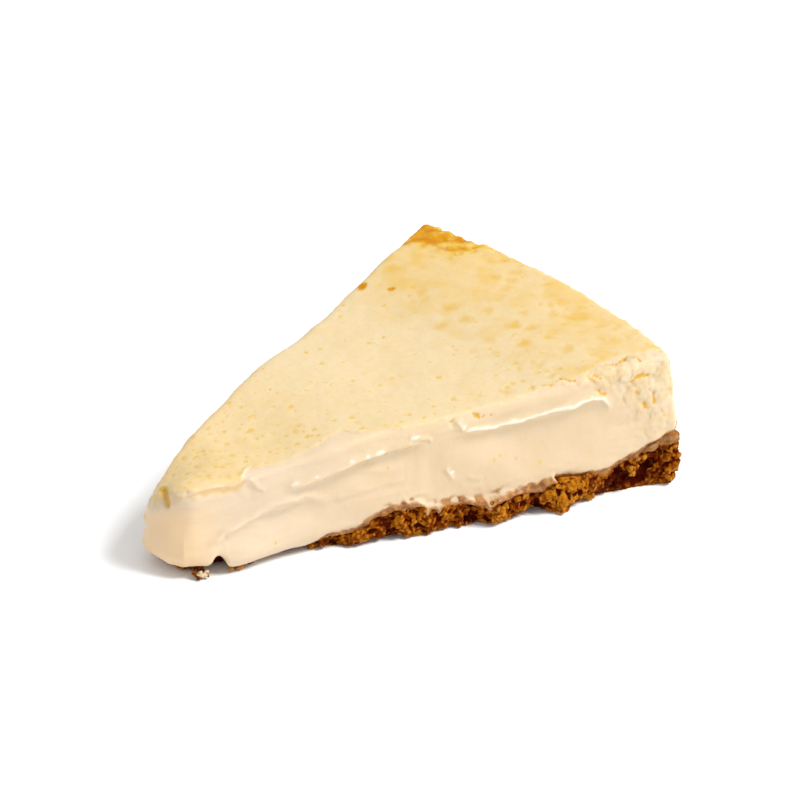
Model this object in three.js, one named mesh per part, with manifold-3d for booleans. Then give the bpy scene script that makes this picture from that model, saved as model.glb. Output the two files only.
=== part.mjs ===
// A slice of baked cheesecake, cut from a 28 cm cake: a biscuit crumb base and the baked cheese filling.
// Millimetres, +Z up. X runs along the middle of the slice from its tip to the rim, which stands on Z = 0.
// The plan is drawn round the point where the two cuts would meet. The finished group is then moved, so
// that its origin lies in the middle of the slice's underside.
import * as THREE from "three";
import { mergeVertices } from "three/addons/utils/BufferGeometryUtils.js";
import Module from "manifold-3d";

// The cake and the cuts
const CAKE_RADIUS = 140;
const SLICES_PER_CAKE = 10;
const CUT_LENGTH = 115.6;
const TIP_CUT = 16;
const TIP_ROUND = 3.2;
const RIM_CORNER_ROUND = 1.5;
const RIM_FLARE = 0.125;
const FOOT_HEIGHT = 4;
const FOOT_ROUND = 0.35;
// The soft slice swells this far past the knife's cuts
const SWELL = 0.4;

// Heights of the filling's top: [distance from where the cuts meet, height]
const TOP_PROFILE = [
  [10, 17.4],
  [24, 18.4],
  [32, 18.9],
  [40, 20.4],
  [48, 22.1],
  [58, 23.1],
  [70, 23.3],
  [84, 24.6],
  [95, 26.6],
  [104, 27.8],
  [112, 28.3],
  [125, 28.3],
];
const RIM_HEIGHT = TOP_PROFILE[TOP_PROFILE.length - 1][1];
// How far the wall stops below the top where the edge is rounded off
const CUT_EDGE_DROP = 1.3;
const RIM_EDGE_DROP = 1.6;
const TIP_NEAR_DROP = 2.8;
const TIP_FAR_DROP = 6;
const TIP_DROP_REACH = 15;
// The far side of the tip has slumped by this much, and the rim is lower towards the near cut
const TIP_SLUMP = 4.2;
const RIM_TILT = 0.02;
const EDGE_ROUND_SHARE = 0.07;
// Low waves in the surfaces: how high they stand and how long they are
const TOP_WAVES = { height: 0.25, length: 14 };
const WALL_WAVES = { height: 0.45, length: 9, rise: 7 };
const FAR_WAVES = { height: 0.5, length: 11, rise: 5 };
const SEAM_WAVES = { height: 0.7, length: 5 };
// How much the wall's rounded edge wanders, and over what length
const EDGE_WANDER = { share: 0.3, length: 5 };

// The base and the line where the filling meets it
const BASE_THICKNESS = 5.6;
const RIM_RISE = 5.6;
const RIM_RISE_WIDTH = 13.5;
// Where the filling hangs over the base, its lower edge stays this far above the table and is drawn in,
// and at the tip it is lifted further
const SKIRT_HEIGHT = 1.6;
const TIP_SKIRT_LIFT = 1.2;
const SKIRT_TUCK = { inward: 2.6, from: 4.5 };
const EDGE_BLEND = 4;
const GAP = 0.3;
// Height of the filling's lower edge on the near cut: [distance along the cut, height]
const NEAR_SMEAR = [
  [41, 0.9],
  [43.5, 1.7],
  [46, 3.0],
  [53.5, 3.2],
  [55.5, 5.2],
  [60, 6.6],
  [64, 6.8],
  [67, 5.2],
  [72, 5.2],
  [77, 4.5],
  [82, 5.1],
  [88.5, 4.8],
  [91.5, 6.4],
  [99, 5.7],
  [102, 5.6],
];
// The filling hangs over the base up to these distances along each cut
const NEAR_DRAPE_END = 46;
const FAR_DRAPE_END = 27;
const DRAPE_INSET = 2.6;
const DRAPE_FADE = 4;

// Knife marks on the near cut: a raised lip that runs through these [distance along the cut, height]
// points, with the face hollowed out below it
const KNIFE_LIPS = [
  {
    lip: 0.7,
    hollow: 0.8,
    depth: 8,
    path: [
      [70.8, 19.8],
      [79.6, 19.6],
      [87, 20.1],
      [94.4, 21],
      [99.6, 21.9],
      [103.5, 20.6],
    ],
  },
  {
    lip: 0.6,
    hollow: 0.9,
    depth: 6,
    path: [
      [22, 5.6],
      [27.6, 8.8],
      [34.5, 11],
      [41.3, 12],
      [46, 11.6],
    ],
  },
  {
    lip: 0.9,
    hollow: 0.6,
    depth: 5,
    path: [
      [38, 15.2],
      [44.7, 16],
      [51.2, 18.1],
      [57, 19.2],
      [66, 20],
    ],
  },
];
const LIP_WIDTH = 1.3;
const LIP_FADE = 5;
const DRAPE_BULGE = { out: 3.1, at: 27, reach: 10, top: 12 };
const TIP_BULGE = 1.2;

// The split in the skin of the tip: a slot between two places of the plan, with its floor at this height
const TIP_SPLIT = { from: [15.2, -3], to: [18.4, 2.2], width: 1.1, floor: 14.1 };

// Curds where the corner by the rim broke instead of being cut: on the near cut from this distance along
// it, and on the top in a strip this wide along that edge
const CURD_SEED = 5;
const CURDS = { side: 34, top: 16 };
const CURD_START = 102.5;
const CURD_STRIP = 4.5;
const CURD_RADIUS = [0.9, 1.9];

// Mesh density
const OUTLINE_STEP = 2.5;
const WALL_LEVELS = 12;
const TOP_RINGS = [0.985, 0.96, 0.93, 0.7, 0.35];
const SEAM_RINGS = [0.97, 0.91, 0.82, 0.5];
const UNDERSIDE_RING = 0.95;
const BASE_LEVELS = 4;

// Crumbs that stand out of the base's sides
const CRUMB_SEED = 11;
const CRUMBS = { near: 46, far: 32, rim: 16 };
const CRUMB_RADIUS = [1.0, 2.2];
const CRUMB_STRETCH = 1.2;
// Where the base bulges out of the near cut or is hollow: [distance along the cut, how far]
const BASE_BULGES = [
  [46, -1.4],
  [62, 0.6],
  [80, 2.3],
  [92.5, 2.1],
];
const BASE_BULGE_WIDTH = 4.2;
const CRAG_DEPTH = 0.8;
const CRAG_SIZE = 2.6;
const CRAG_LIFT = 1.1;
const CRAG_SPACING = 3.4;
const CORNER_LIFT = 1.3;
const CORNER_LIFT_FROM = 100;
const CORNER_LIFT_REACH = 6;

const HALF_ANGLE = Math.PI / SLICES_PER_CAKE;
const NEAR_DIRECTION = new THREE.Vector2(Math.cos(HALF_ANGLE), -Math.sin(HALF_ANGLE));
const FAR_DIRECTION = new THREE.Vector2(Math.cos(HALF_ANGLE), Math.sin(HALF_ANGLE));
const NEAR_NORMAL = new THREE.Vector2(-Math.sin(HALF_ANGLE), -Math.cos(HALF_ANGLE));
const FAR_NORMAL = new THREE.Vector2(-Math.sin(HALF_ANGLE), Math.cos(HALF_ANGLE));
const RIM_CORNER = FAR_DIRECTION.clone().multiplyScalar(CUT_LENGTH);
const CAKE_CENTRE_X = RIM_CORNER.x - Math.sqrt(CAKE_RADIUS ** 2 - RIM_CORNER.y ** 2);
// Rings shrink towards this point of the plan
const HUB = new THREE.Vector2(78, 0);

const clamp = THREE.MathUtils.clamp;
const lerp = THREE.MathUtils.lerp;
const smoothstep = THREE.MathUtils.smoothstep;

// A smooth curve through [position, value] points, level beyond both ends.
function through(points, at) {
  const last = points.length - 1;
  if (at <= points[0][0]) return points[0][1];
  if (at >= points[last][0]) return points[last][1];
  let i = 0;
  while (points[i + 1][0] < at) i += 1;
  const slope = (j) => {
    const a = points[Math.max(j - 1, 0)];
    const b = points[Math.min(j + 1, last)];
    return (b[1] - a[1]) / (b[0] - a[0]);
  };
  const [x0, y0] = points[i];
  const [x1, y1] = points[i + 1];
  const width = x1 - x0;
  const t = (at - x0) / width;
  return (
    (2 * t ** 3 - 3 * t ** 2 + 1) * y0 +
    (t ** 3 - 2 * t ** 2 + t) * width * slope(i) +
    (3 * t ** 2 - 2 * t ** 3) * y1 +
    (t ** 3 - t ** 2) * width * slope(i + 1)
  );
}

// A repeatable random number between 0 and 1 for each whole-number grid point
function hash(i, j, k) {
  let h = Math.imul(i, 374761393) + Math.imul(j, 668265263) + Math.imul(k, 2147483647);
  h = Math.imul(h ^ (h >>> 13), 1274126177);
  return ((h ^ (h >>> 16)) >>> 0) / 4294967296;
}

// Smooth noise between -1 and 1 with bumps about one unit across
function noise(x, y, z) {
  const [i, j, k] = [Math.floor(x), Math.floor(y), Math.floor(z)];
  const [u, v, w] = [x - i, y - j, z - k].map((t) => t * t * (3 - 2 * t));
  const row = (b, c) => lerp(hash(i, b, c), hash(i + 1, b, c), u);
  const plane = (c) => lerp(row(j, c), row(j + 1, c), v);
  return 2 * lerp(plane(k), plane(k + 1), w) - 1;
}

// A repeatable stream of random numbers between 0 and 1
function randomStream(seed) {
  let count = 0;
  return () => hash(seed, (count += 1), 7);
}

// Plan outline of the slice, anticlockwise from the middle of the tip
function planPath() {
  const path = new THREE.Path();
  const tipHalf = TIP_CUT * Math.tan(HALF_ANGLE);
  const along = (direction, distance) => direction.clone().multiplyScalar(distance);
  const tipDistance = TIP_CUT / Math.cos(HALF_ANGLE);
  const rimAngle = Math.asin(RIM_CORNER.y / CAKE_RADIUS) - RIM_CORNER_ROUND / CAKE_RADIUS;
  const rimPoint = (angle) =>
    new THREE.Vector2(
      CAKE_CENTRE_X + CAKE_RADIUS * Math.cos(angle),
      CAKE_RADIUS * Math.sin(angle),
    );
  const curve = (corner, end) => path.quadraticCurveTo(corner.x, corner.y, end.x, end.y);
  const line = (end) => path.lineTo(end.x, end.y);
  path.moveTo(TIP_CUT, 0);
  path.lineTo(TIP_CUT, -(tipHalf - TIP_ROUND));
  curve(along(NEAR_DIRECTION, tipDistance), along(NEAR_DIRECTION, tipDistance + TIP_ROUND));
  line(along(NEAR_DIRECTION, CUT_LENGTH - RIM_CORNER_ROUND));
  curve(along(NEAR_DIRECTION, CUT_LENGTH), rimPoint(-rimAngle));
  path.absarc(CAKE_CENTRE_X, 0, CAKE_RADIUS, -rimAngle, rimAngle, false);
  curve(RIM_CORNER, along(FAR_DIRECTION, CUT_LENGTH - RIM_CORNER_ROUND));
  line(along(FAR_DIRECTION, tipDistance + TIP_ROUND));
  curve(along(FAR_DIRECTION, tipDistance), new THREE.Vector2(TIP_CUT, tipHalf - TIP_ROUND));
  path.closePath();
  return path;
}

// Outline samples: place, outward normal, and how much each belongs to the near cut, far cut, rim and tip
function outlineSamples(step) {
  const path = planPath();
  const count = Math.round(path.getLength() / step);
  const points = path.getSpacedPoints(count).slice(0, count);
  return points.map((point, i) => {
    const before = points[(i + count - 1) % count];
    const after = points[(i + 1) % count];
    const normal = new THREE.Vector2(after.y - before.y, before.x - after.x).normalize();
    const facing = (direction) => smoothstep(normal.dot(direction), 0.72, 0.96);
    return {
      point: point.clone().addScaledVector(normal, SWELL),
      normal,
      near: facing(NEAR_NORMAL),
      far: facing(FAR_NORMAL),
      rim: smoothstep(normal.x, 0.3, 0.8),
      tip: smoothstep(-normal.x, 0.45, 0.9),
    };
  });
}

function topHeight(x, y) {
  const slump = TIP_SLUMP * (1 - smoothstep(x, TIP_CUT, 2 * TIP_CUT)) * smoothstep(y, -4, 7);
  const tilt = RIM_TILT * y * smoothstep(x, 80, 105);
  const waves = TOP_WAVES.height * noise(x / TOP_WAVES.length, y / TOP_WAVES.length, 3);
  return through(TOP_PROFILE, Math.hypot(x, y)) + tilt - slump + waves;
}

// How far the rounded top edge starts below the top
function edgeDrop({ point, rim, tip }) {
  const towardsTip = 1 - smoothstep(point.x, TIP_CUT + 1, TIP_CUT + TIP_DROP_REACH);
  const acrossTip = smoothstep(point.y, -5, 5);
  const tipDrop = lerp(TIP_NEAR_DROP, TIP_FAR_DROP, acrossTip);
  const plain = lerp(CUT_EDGE_DROP, RIM_EDGE_DROP, rim);
  const { share, length } = EDGE_WANDER;
  const uneven = 1 + share * noise(point.x / length, point.y / length, 9);
  return lerp(plain * uneven, tipDrop, Math.max(tip, towardsTip));
}

// Relief of the knife marks on the near cut
function knifeRelief(s, z) {
  let relief = 0;
  for (const { lip, hollow, depth, path } of KNIFE_LIPS) {
    const start = path[0][0];
    const end = path[path.length - 1][0];
    const begin = smoothstep(s, start - 1, start + LIP_FADE);
    const fade = begin * (1 - smoothstep(s, end - LIP_FADE, end + 1));
    const below = through(path, s) - z;
    const ridge = lip * Math.exp(-((below / LIP_WIDTH) ** 2));
    const dip = hollow * smoothstep(below, 0, 1.2) * (1 - smoothstep(below, 2, depth));
    relief += fade * (ridge - dip);
  }
  return relief;
}

// The rim leans out towards its foot, as the side of the baking tin did, and is rounded off at the foot
function rimFlare({ rim }, z) {
  const lean = RIM_FLARE * (RIM_HEIGHT - Math.max(z, FOOT_HEIGHT));
  return rim * (lean - FOOT_ROUND * Math.max(0, FOOT_HEIGHT - z));
}

// How far the filling's wall stands out of the plan outline at height z
function fillingRelief(sample, z) {
  const { point, near, far, tip } = sample;
  const s = point.dot(NEAR_DIRECTION);
  const tuck = SKIRT_TUCK.inward * Math.max(0, 1 - z / SKIRT_TUCK.from) ** 2;
  const low = 1 - smoothstep(z, 0, DRAPE_BULGE.top);
  const along = (s - DRAPE_BULGE.at) / DRAPE_BULGE.reach;
  const drape = DRAPE_BULGE.out * Math.exp(-(along ** 2)) * low;
  const { height, length, rise } = WALL_WAVES;
  const waves = height * noise(point.x / length, point.y / length, z / rise);
  const farWaves = FAR_WAVES.height * noise(s / FAR_WAVES.length, 4, z / FAR_WAVES.rise);
  const cut = near * (knifeRelief(s, z) + drape) + far * farWaves;
  const drawnIn = Math.max(near, tip) * tuck;
  return cut + tip * TIP_BULGE * low - drawnIn + waves + rimFlare(sample, z);
}

// Height of the base's top, which the filling follows
function seamHeight(x, y) {
  const place = new THREE.Vector2(x, y);
  const toRim = CAKE_RADIUS - Math.hypot(x - CAKE_CENTRE_X, y);
  const rise = RIM_RISE * clamp(1 - toRim / RIM_RISE_WIDTH, 0, 1.3) ** 1.2;
  const inside = -place.dot(NEAR_NORMAL);
  const atEdge = 1 - smoothstep(inside, 0, EDGE_BLEND);
  const smear = through(NEAR_SMEAR, place.dot(NEAR_DIRECTION)) - BASE_THICKNESS;
  const uneven = SEAM_WAVES.height * noise(x / SEAM_WAVES.length, y / SEAM_WAVES.length, 21);
  return BASE_THICKNESS + rise + atEdge * smear + (1 - atEdge) * uneven;
}

// How much of the base's side the filling covers: 1 all of it, 0 none
function drapeShare({ point, tip }) {
  const [direction, end] =
    point.y < 0 ? [NEAR_DIRECTION, NEAR_DRAPE_END] : [FAR_DIRECTION, FAR_DRAPE_END];
  return Math.max(tip, 1 - smoothstep(point.dot(direction), end - DRAPE_FADE, end));
}

// A closed geometry from rings of points that run from the middle of the underside to the middle of the top
function ringGeometry(rings, bottom, top) {
  const count = rings[0].length;
  const positions = rings.flat().concat([bottom, top]).flat();
  const bottomIndex = rings.length * count;
  const topIndex = bottomIndex + 1;
  const indices = [];
  for (let i = 0; i < count; i += 1) {
    const next = (i + 1) % count;
    indices.push(bottomIndex, next, i);
    for (let r = 0; r < rings.length - 1; r += 1) {
      const a = r * count + i;
      const b = r * count + next;
      indices.push(a, b, b + count, a, b + count, a + count);
    }
    indices.push(topIndex, (rings.length - 1) * count + i, (rings.length - 1) * count + next);
  }
  const geometry = new THREE.BufferGeometry();
  geometry.setAttribute("position", new THREE.Float32BufferAttribute(positions, 3));
  geometry.setIndex(indices);
  return geometry;
}

const towardsHub = (point, share) => HUB.clone().lerp(point, share);

function skirtHeight({ point }) {
  return SKIRT_HEIGHT + TIP_SKIRT_LIFT * (1 - smoothstep(point.x, TIP_CUT + 3, TIP_CUT + 10));
}

// The filling's outer form, down to a little above the table all round
function fillingForm() {
  const samples = outlineSamples(OUTLINE_STEP);
  const rings = [];
  rings.push(
    samples.map((sample) => [...towardsHub(sample.point, UNDERSIDE_RING), skirtHeight(sample)]),
  );
  for (let level = 0; level <= WALL_LEVELS; level += 1) {
    rings.push(
      samples.map((sample) => {
        const wallTop = topHeight(...sample.point) - edgeDrop(sample);
        const z = lerp(skirtHeight(sample), wallTop, level / WALL_LEVELS);
        const out = fillingRelief(sample, z);
        return [...sample.point.clone().addScaledVector(sample.normal, out), z];
      }),
    );
  }
  for (const share of TOP_RINGS) {
    rings.push(
      samples.map((sample) => {
        const wallTop = topHeight(...sample.point) - edgeDrop(sample);
        const inward = clamp((1 - share) / EDGE_ROUND_SHARE, 0, 1);
        const round = Math.sqrt(1 - (1 - inward) ** 2);
        const out = fillingRelief(sample, wallTop) * (1 - inward);
        const place = towardsHub(sample.point, share).addScaledVector(sample.normal, out);
        const z = topHeight(...place) - edgeDrop(sample) * (1 - round);
        return [...place, z];
      }),
    );
  }
  return ringGeometry(rings, [...HUB, SKIRT_HEIGHT], [...HUB, topHeight(...HUB)]);
}

// A slab from the underside up to the seam. The sides stand out of the plan by side(sample, z), and the
// rings of the top and underside lie at shares of the plan that both slabs have in common
function slabForm({ side, lift, floor, levels, rim }) {
  const samples = outlineSamples(OUTLINE_STEP);
  const inner = (sample, share) => {
    const inset = -DRAPE_INSET * drapeShare(sample);
    return towardsHub(sample.point.clone().addScaledVector(sample.normal, inset), share);
  };
  const rings = [];
  rings.push(
    samples.map((sample) => [...inner(sample, UNDERSIDE_RING), floor(sample, UNDERSIDE_RING)]),
  );
  for (let level = 0; level <= levels; level += 1) {
    rings.push(
      samples.map((sample) => {
        const seam = seamHeight(...inner(sample, 1)) + lift;
        const z = lerp(floor(sample, 1), seam, level / levels);
        return [...sample.point.clone().addScaledVector(sample.normal, side(sample, z)), z];
      }),
    );
  }
  for (const share of rim ? [1, ...SEAM_RINGS] : SEAM_RINGS) {
    rings.push(
      samples.map((sample) => {
        const place = inner(sample, share);
        return [...place, seamHeight(...place) + lift];
      }),
    );
  }
  return ringGeometry(rings, [...HUB, floor(samples[0], 0)], [...HUB, seamHeight(...HUB) + lift]);
}

// The base's side: tucked in under the filling's skirt, rough where it shows, leaning out at the rim
function baseOffset(sample, z) {
  const { point, near, far, rim } = sample;
  const covered = drapeShare(sample);
  const rough = CRAG_DEPTH * (near + 0.8 * far + 0.35 * rim) * (1 - covered);
  const crag = rough * noise(point.x / CRAG_SIZE, point.y / CRAG_SIZE, z / CRAG_SIZE);
  const s = point.dot(NEAR_DIRECTION);
  let bulge = 0;
  for (const [at, out] of BASE_BULGES) bulge += out * Math.exp(-(((s - at) / BASE_BULGE_WIDTH) ** 2));
  return crag + near * bulge + rimFlare(sample, z) - DRAPE_INSET * covered;
}

// The base's underside is flat inside, and lifts off the table between crags along the cuts
function baseFloor({ point, near, far }, share) {
  if (share < 1) return 0;
  const crag = noise(point.x / CRAG_SPACING, point.y / CRAG_SPACING, 40);
  const lift = CRAG_LIFT * clamp(0.6 * crag + 0.35, 0, 1);
  const s = point.dot(NEAR_DIRECTION);
  const corner = CORNER_LIFT * smoothstep(s, CORNER_LIFT_FROM, CORNER_LIFT_FROM + CORNER_LIFT_REACH);
  return lift * Math.max(near, far) + corner * near;
}

function solidOf(wasm, geometry) {
  const bare = geometry.clone();
  bare.deleteAttribute("normal");
  bare.deleteAttribute("uv");
  const merged = mergeVertices(bare, 1e-4);
  const mesh = new wasm.Mesh({
    numProp: 3,
    vertProperties: merged.attributes.position.array,
    triVerts: new Uint32Array(merged.index.array),
  });
  return new wasm.Manifold(mesh);
}

function geometryOf(solid) {
  const { numProp, numVert, vertProperties, triVerts } = solid.getMesh();
  const positions = new Float32Array(numVert * 3);
  for (let i = 0; i < numVert; i += 1)
    positions.set(vertProperties.subarray(i * numProp, i * numProp + 3), i * 3);
  const geometry = new THREE.BufferGeometry();
  geometry.setAttribute("position", new THREE.BufferAttribute(positions, 3));
  geometry.setIndex(new THREE.BufferAttribute(new Uint32Array(triVerts), 1));
  geometry.computeVertexNormals();
  return geometry;
}

const largestOf = (solid) => solid.decompose().sort((a, b) => b.volume() - a.volume())[0];

// One crumb: a rough lump with 20 faces
function crumbGeometry(random, radius) {
  const ball = new THREE.IcosahedronGeometry(radius, 0);
  ball.deleteAttribute("normal");
  ball.deleteAttribute("uv");
  const geometry = mergeVertices(ball);
  const place = geometry.attributes.position;
  for (let i = 0; i < place.count; i += 1) {
    const stretch = lerp(0.7, CRUMB_STRETCH, random());
    place.setXYZ(i, place.getX(i) * stretch, place.getY(i) * stretch, place.getZ(i) * stretch);
  }
  return geometry.rotateX(random() * Math.PI).rotateZ(random() * Math.PI);
}

// A slot in the tip, where the skin has split
function splitSolid(wasm) {
  const from = new THREE.Vector2(...TIP_SPLIT.from);
  const along = new THREE.Vector2(...TIP_SPLIT.to).sub(from);
  const height = RIM_HEIGHT - TIP_SPLIT.floor;
  const slot = new THREE.BoxGeometry(along.length(), TIP_SPLIT.width, height);
  const middle = from.addScaledVector(along, 0.5);
  slot.rotateZ(along.angle()).translate(...middle, TIP_SPLIT.floor + height / 2);
  return solidOf(wasm, slot);
}

// Curds on the broken corner: on the near cut's face, and on the top beside it
function curdSolids(wasm) {
  const random = randomStream(CURD_SEED);
  const broken = outlineSamples(1).filter(
    ({ point, near }) => near > 0.98 && point.dot(NEAR_DIRECTION) > CURD_START,
  );
  const kinds = Object.entries(CURDS).flatMap(([kind, count]) => Array(count).fill(kind));
  return kinds.map((kind) => {
    const sample = broken[Math.floor(random() * broken.length)];
    const radius = lerp(...CURD_RADIUS, random());
    const sunk = radius * lerp(0.35, 0.75, random());
    const place = sample.point.clone();
    let z = topHeight(...place) - edgeDrop(sample);
    if (kind === "side") {
      z = lerp(seamHeight(...place) + 2 * radius, z, random());
      place.addScaledVector(sample.normal, fillingRelief(sample, z) - sunk);
    } else {
      place.addScaledVector(sample.normal, -CURD_STRIP * random());
      z = topHeight(...place) - sunk;
    }
    return solidOf(wasm, crumbGeometry(random, radius).translate(...place, z));
  });
}

// The filling: its outer form less the space of the base and all that lies outside it below the seam
function fillingSolid(wasm) {
  const beyond = 7;
  const belowFloor = -5;
  const hollow = slabForm({
    side: (sample) => lerp(beyond, GAP + 0.1 - DRAPE_INSET, drapeShare(sample)),
    lift: GAP,
    floor: () => belowFloor,
    levels: 1,
    rim: true,
  });
  let filling = solidOf(wasm, fillingForm()).subtract(solidOf(wasm, hollow));
  for (const curd of curdSolids(wasm)) filling = filling.add(curd);
  return largestOf(filling.subtract(splitSolid(wasm)));
}

// Crumbs spread along the base's sides below the seam, where they aren't covered by the filling
function crumbSolids(wasm) {
  const random = randomStream(CRUMB_SEED);
  const samples = outlineSamples(1);
  const crumbs = [];
  for (const [side, count] of Object.entries(CRUMBS)) {
    const bare = samples.filter((sample) => sample[side] > 0.98 && drapeShare(sample) < 0.2);
    for (let n = 0; n < count; n += 1) {
      const sample = bare[Math.floor(((n + random()) / count) * bare.length)];
      const around = samples.filter(({ point }) => point.distanceTo(sample.point) < CRUMB_RADIUS[1]);
      const room = Math.min(...around.map(({ point }) => seamHeight(...point))) - GAP / 2;
      const radius = Math.min(lerp(...CRUMB_RADIUS, random()), room / 2 / CRUMB_STRETCH);
      const z = lerp(radius * CRUMB_STRETCH, room - radius * CRUMB_STRETCH, random());
      const out = baseOffset(sample, z) - radius * lerp(0.1, 0.6, random());
      const place = sample.point.clone().addScaledVector(sample.normal, out);
      crumbs.push(solidOf(wasm, crumbGeometry(random, radius).translate(place.x, place.y, z)));
    }
  }
  return crumbs;
}

// The base: a rough slab with its crumbs
function baseSolid(wasm) {
  const core = slabForm({ side: baseOffset, lift: 0, floor: baseFloor, levels: BASE_LEVELS, rim: false });
  let base = solidOf(wasm, core);
  for (const crumb of crumbSolids(wasm)) base = base.add(crumb);
  return largestOf(base);
}

const wasm = await Module();
wasm.setup();

const biscuitMaterial = new THREE.MeshStandardMaterial({ color: 0x8a4f1c, roughness: 0.75, metalness: 0 });
const fillingMaterial = new THREE.MeshStandardMaterial({ color: 0xf4e0b6, roughness: 0.45, metalness: 0 });

const base = new THREE.Mesh(geometryOf(baseSolid(wasm)), biscuitMaterial);
base.name = "biscuit_base";
const filling = new THREE.Mesh(geometryOf(fillingSolid(wasm)), fillingMaterial);
filling.name = "cheese_filling";

const slice = new THREE.Group();
slice.add(base, filling);
const box = new THREE.Box3().setFromObject(slice);
const middle = box.getCenter(new THREE.Vector3());
slice.position.set(-middle.x, -middle.y, -box.min.z);

export default slice;
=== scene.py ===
import math
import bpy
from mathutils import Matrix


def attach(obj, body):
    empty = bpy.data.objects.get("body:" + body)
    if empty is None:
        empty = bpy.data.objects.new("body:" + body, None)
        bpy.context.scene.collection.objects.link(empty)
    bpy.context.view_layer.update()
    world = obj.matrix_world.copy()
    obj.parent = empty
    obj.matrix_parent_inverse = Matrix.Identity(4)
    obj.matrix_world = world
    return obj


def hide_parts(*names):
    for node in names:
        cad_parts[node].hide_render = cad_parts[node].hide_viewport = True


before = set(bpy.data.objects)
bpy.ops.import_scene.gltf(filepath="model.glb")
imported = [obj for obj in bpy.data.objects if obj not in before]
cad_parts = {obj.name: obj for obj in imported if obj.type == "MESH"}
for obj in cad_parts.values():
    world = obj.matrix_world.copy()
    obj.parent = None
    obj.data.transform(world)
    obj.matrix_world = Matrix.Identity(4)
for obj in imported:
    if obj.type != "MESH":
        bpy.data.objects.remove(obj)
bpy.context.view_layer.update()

from types import SimpleNamespace

import bpy
import numpy as np
from mathutils import Vector, kdtree

# The looks of a slice of baked cheesecake. Shapes are worked out in millimetres on the slice's own plan: x
# runs along its middle from the point where the two cuts would meet, z is the height over the table.
MM = 0.001
FRAME_ORIGIN = np.array([66.7215, -0.3301, 0.0])
rng = np.random.default_rng(28)

# The slice's plan, as in the solids
CAKE_RADIUS = 140.0
HALF_ANGLE = math.pi / 10
CUT_LENGTH = 115.6
TIP_CUT = 16.0
TIP_ROUND = 3.2
RIM_CORNER_ROUND = 1.5
RIM_FLARE = 0.125
FOOT_HEIGHT = 4.0
FOOT_ROUND = 0.35
SWELL = 0.4
TOP_PROFILE = [(10, 17.4), (24, 18.4), (32, 18.9), (40, 20.4), (48, 22.1), (58, 23.1), (70, 23.3), (84, 24.6),
               (95, 26.6), (104, 27.8), (112, 28.3), (125, 28.3)]
RIM_HEIGHT = 28.3
CUT_EDGE_DROP = 1.3
RIM_EDGE_DROP = 1.6
TIP_NEAR_DROP = 2.8
TIP_FAR_DROP = 6.0
TIP_DROP_REACH = 15.0
TIP_SLUMP = 4.2
RIM_TILT = 0.02
EDGE_ROUND_SHARE = 0.07
BASE_THICKNESS = 5.6
RIM_RISE = 5.6
RIM_RISE_WIDTH = 13.5
SKIRT_HEIGHT = 1.6
TIP_SKIRT_LIFT = 1.2
SKIRT_TUCK_IN = 2.6
SKIRT_TUCK_FROM = 4.5
EDGE_BLEND = 4.0
NEAR_SMEAR = [(41, 0.9), (43.5, 1.7), (46, 3.0), (53.5, 3.2), (55.5, 5.2), (60, 6.6), (64, 6.8), (67, 5.2),
              (72, 5.2), (77, 4.5), (82, 5.1), (88.5, 4.8), (91.5, 6.4), (99, 5.7), (102, 5.6)]
NEAR_DRAPE_END = 46.0
FAR_DRAPE_END = 27.0
DRAPE_INSET = 2.6
DRAPE_FADE = 4.0
DRAPE_BULGE_OUT = 3.1
DRAPE_BULGE_AT = 27.0
DRAPE_BULGE_REACH = 10.0
DRAPE_BULGE_TOP = 12.0
TIP_BULGE = 1.2
# Shelves that the knife left: the lip's height, the hollow below it, how far down it goes, and the path of
# (distance along the near cut, height). The hollows are shallower than in the solids.
KNIFE_LIPS = [
    (0.7, 0.35, 8.0, [(70.8, 19.8), (79.6, 19.6), (87, 20.1), (94.4, 21), (99.6, 21.9), (103.5, 20.6)]),
    (0.6, 0.7, 6.0, [(22, 5.6), (27.6, 8.8), (34.5, 11), (41.3, 12), (46, 11.6)]),
    (0.9, 0.5, 5.0, [(38, 15.2), (44.7, 16), (51.2, 18.1), (57, 19.2), (66, 20)]),
]
LIP_WIDTH = 1.3
LIP_FADE = 5.0
BASE_BULGES = [(46, -1.4), (62, 0.6), (80, 2.3), (92.5, 2.1)]
BASE_BULGE_WIDTH = 4.2
CRAG_DEPTH = 0.8
CRAG_SIZE = 2.6
CORNER_LIFT = 1.3
CORNER_LIFT_FROM = 100.0

NEAR_DIRECTION = np.array([math.cos(HALF_ANGLE), -math.sin(HALF_ANGLE)])
FAR_DIRECTION = np.array([math.cos(HALF_ANGLE), math.sin(HALF_ANGLE)])
NEAR_NORMAL = np.array([-math.sin(HALF_ANGLE), -math.cos(HALF_ANGLE)])
FAR_NORMAL = np.array([-math.sin(HALF_ANGLE), math.cos(HALF_ANGLE)])
RIM_CORNER = FAR_DIRECTION * CUT_LENGTH
CAKE_CENTRE_X = RIM_CORNER[0] - math.sqrt(CAKE_RADIUS ** 2 - RIM_CORNER[1] ** 2)
HUB = np.array([78.0, 0.0])


# Small maths
def lerp(a, b, t):
    return a + (b - a) * t


def smoothstep(x, low, high):
    t = np.clip((x - low) / (high - low), 0, 1)
    return t * t * (3 - 2 * t)


def bump(distance, width):
    return np.exp(-(distance / width) ** 2)


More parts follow.
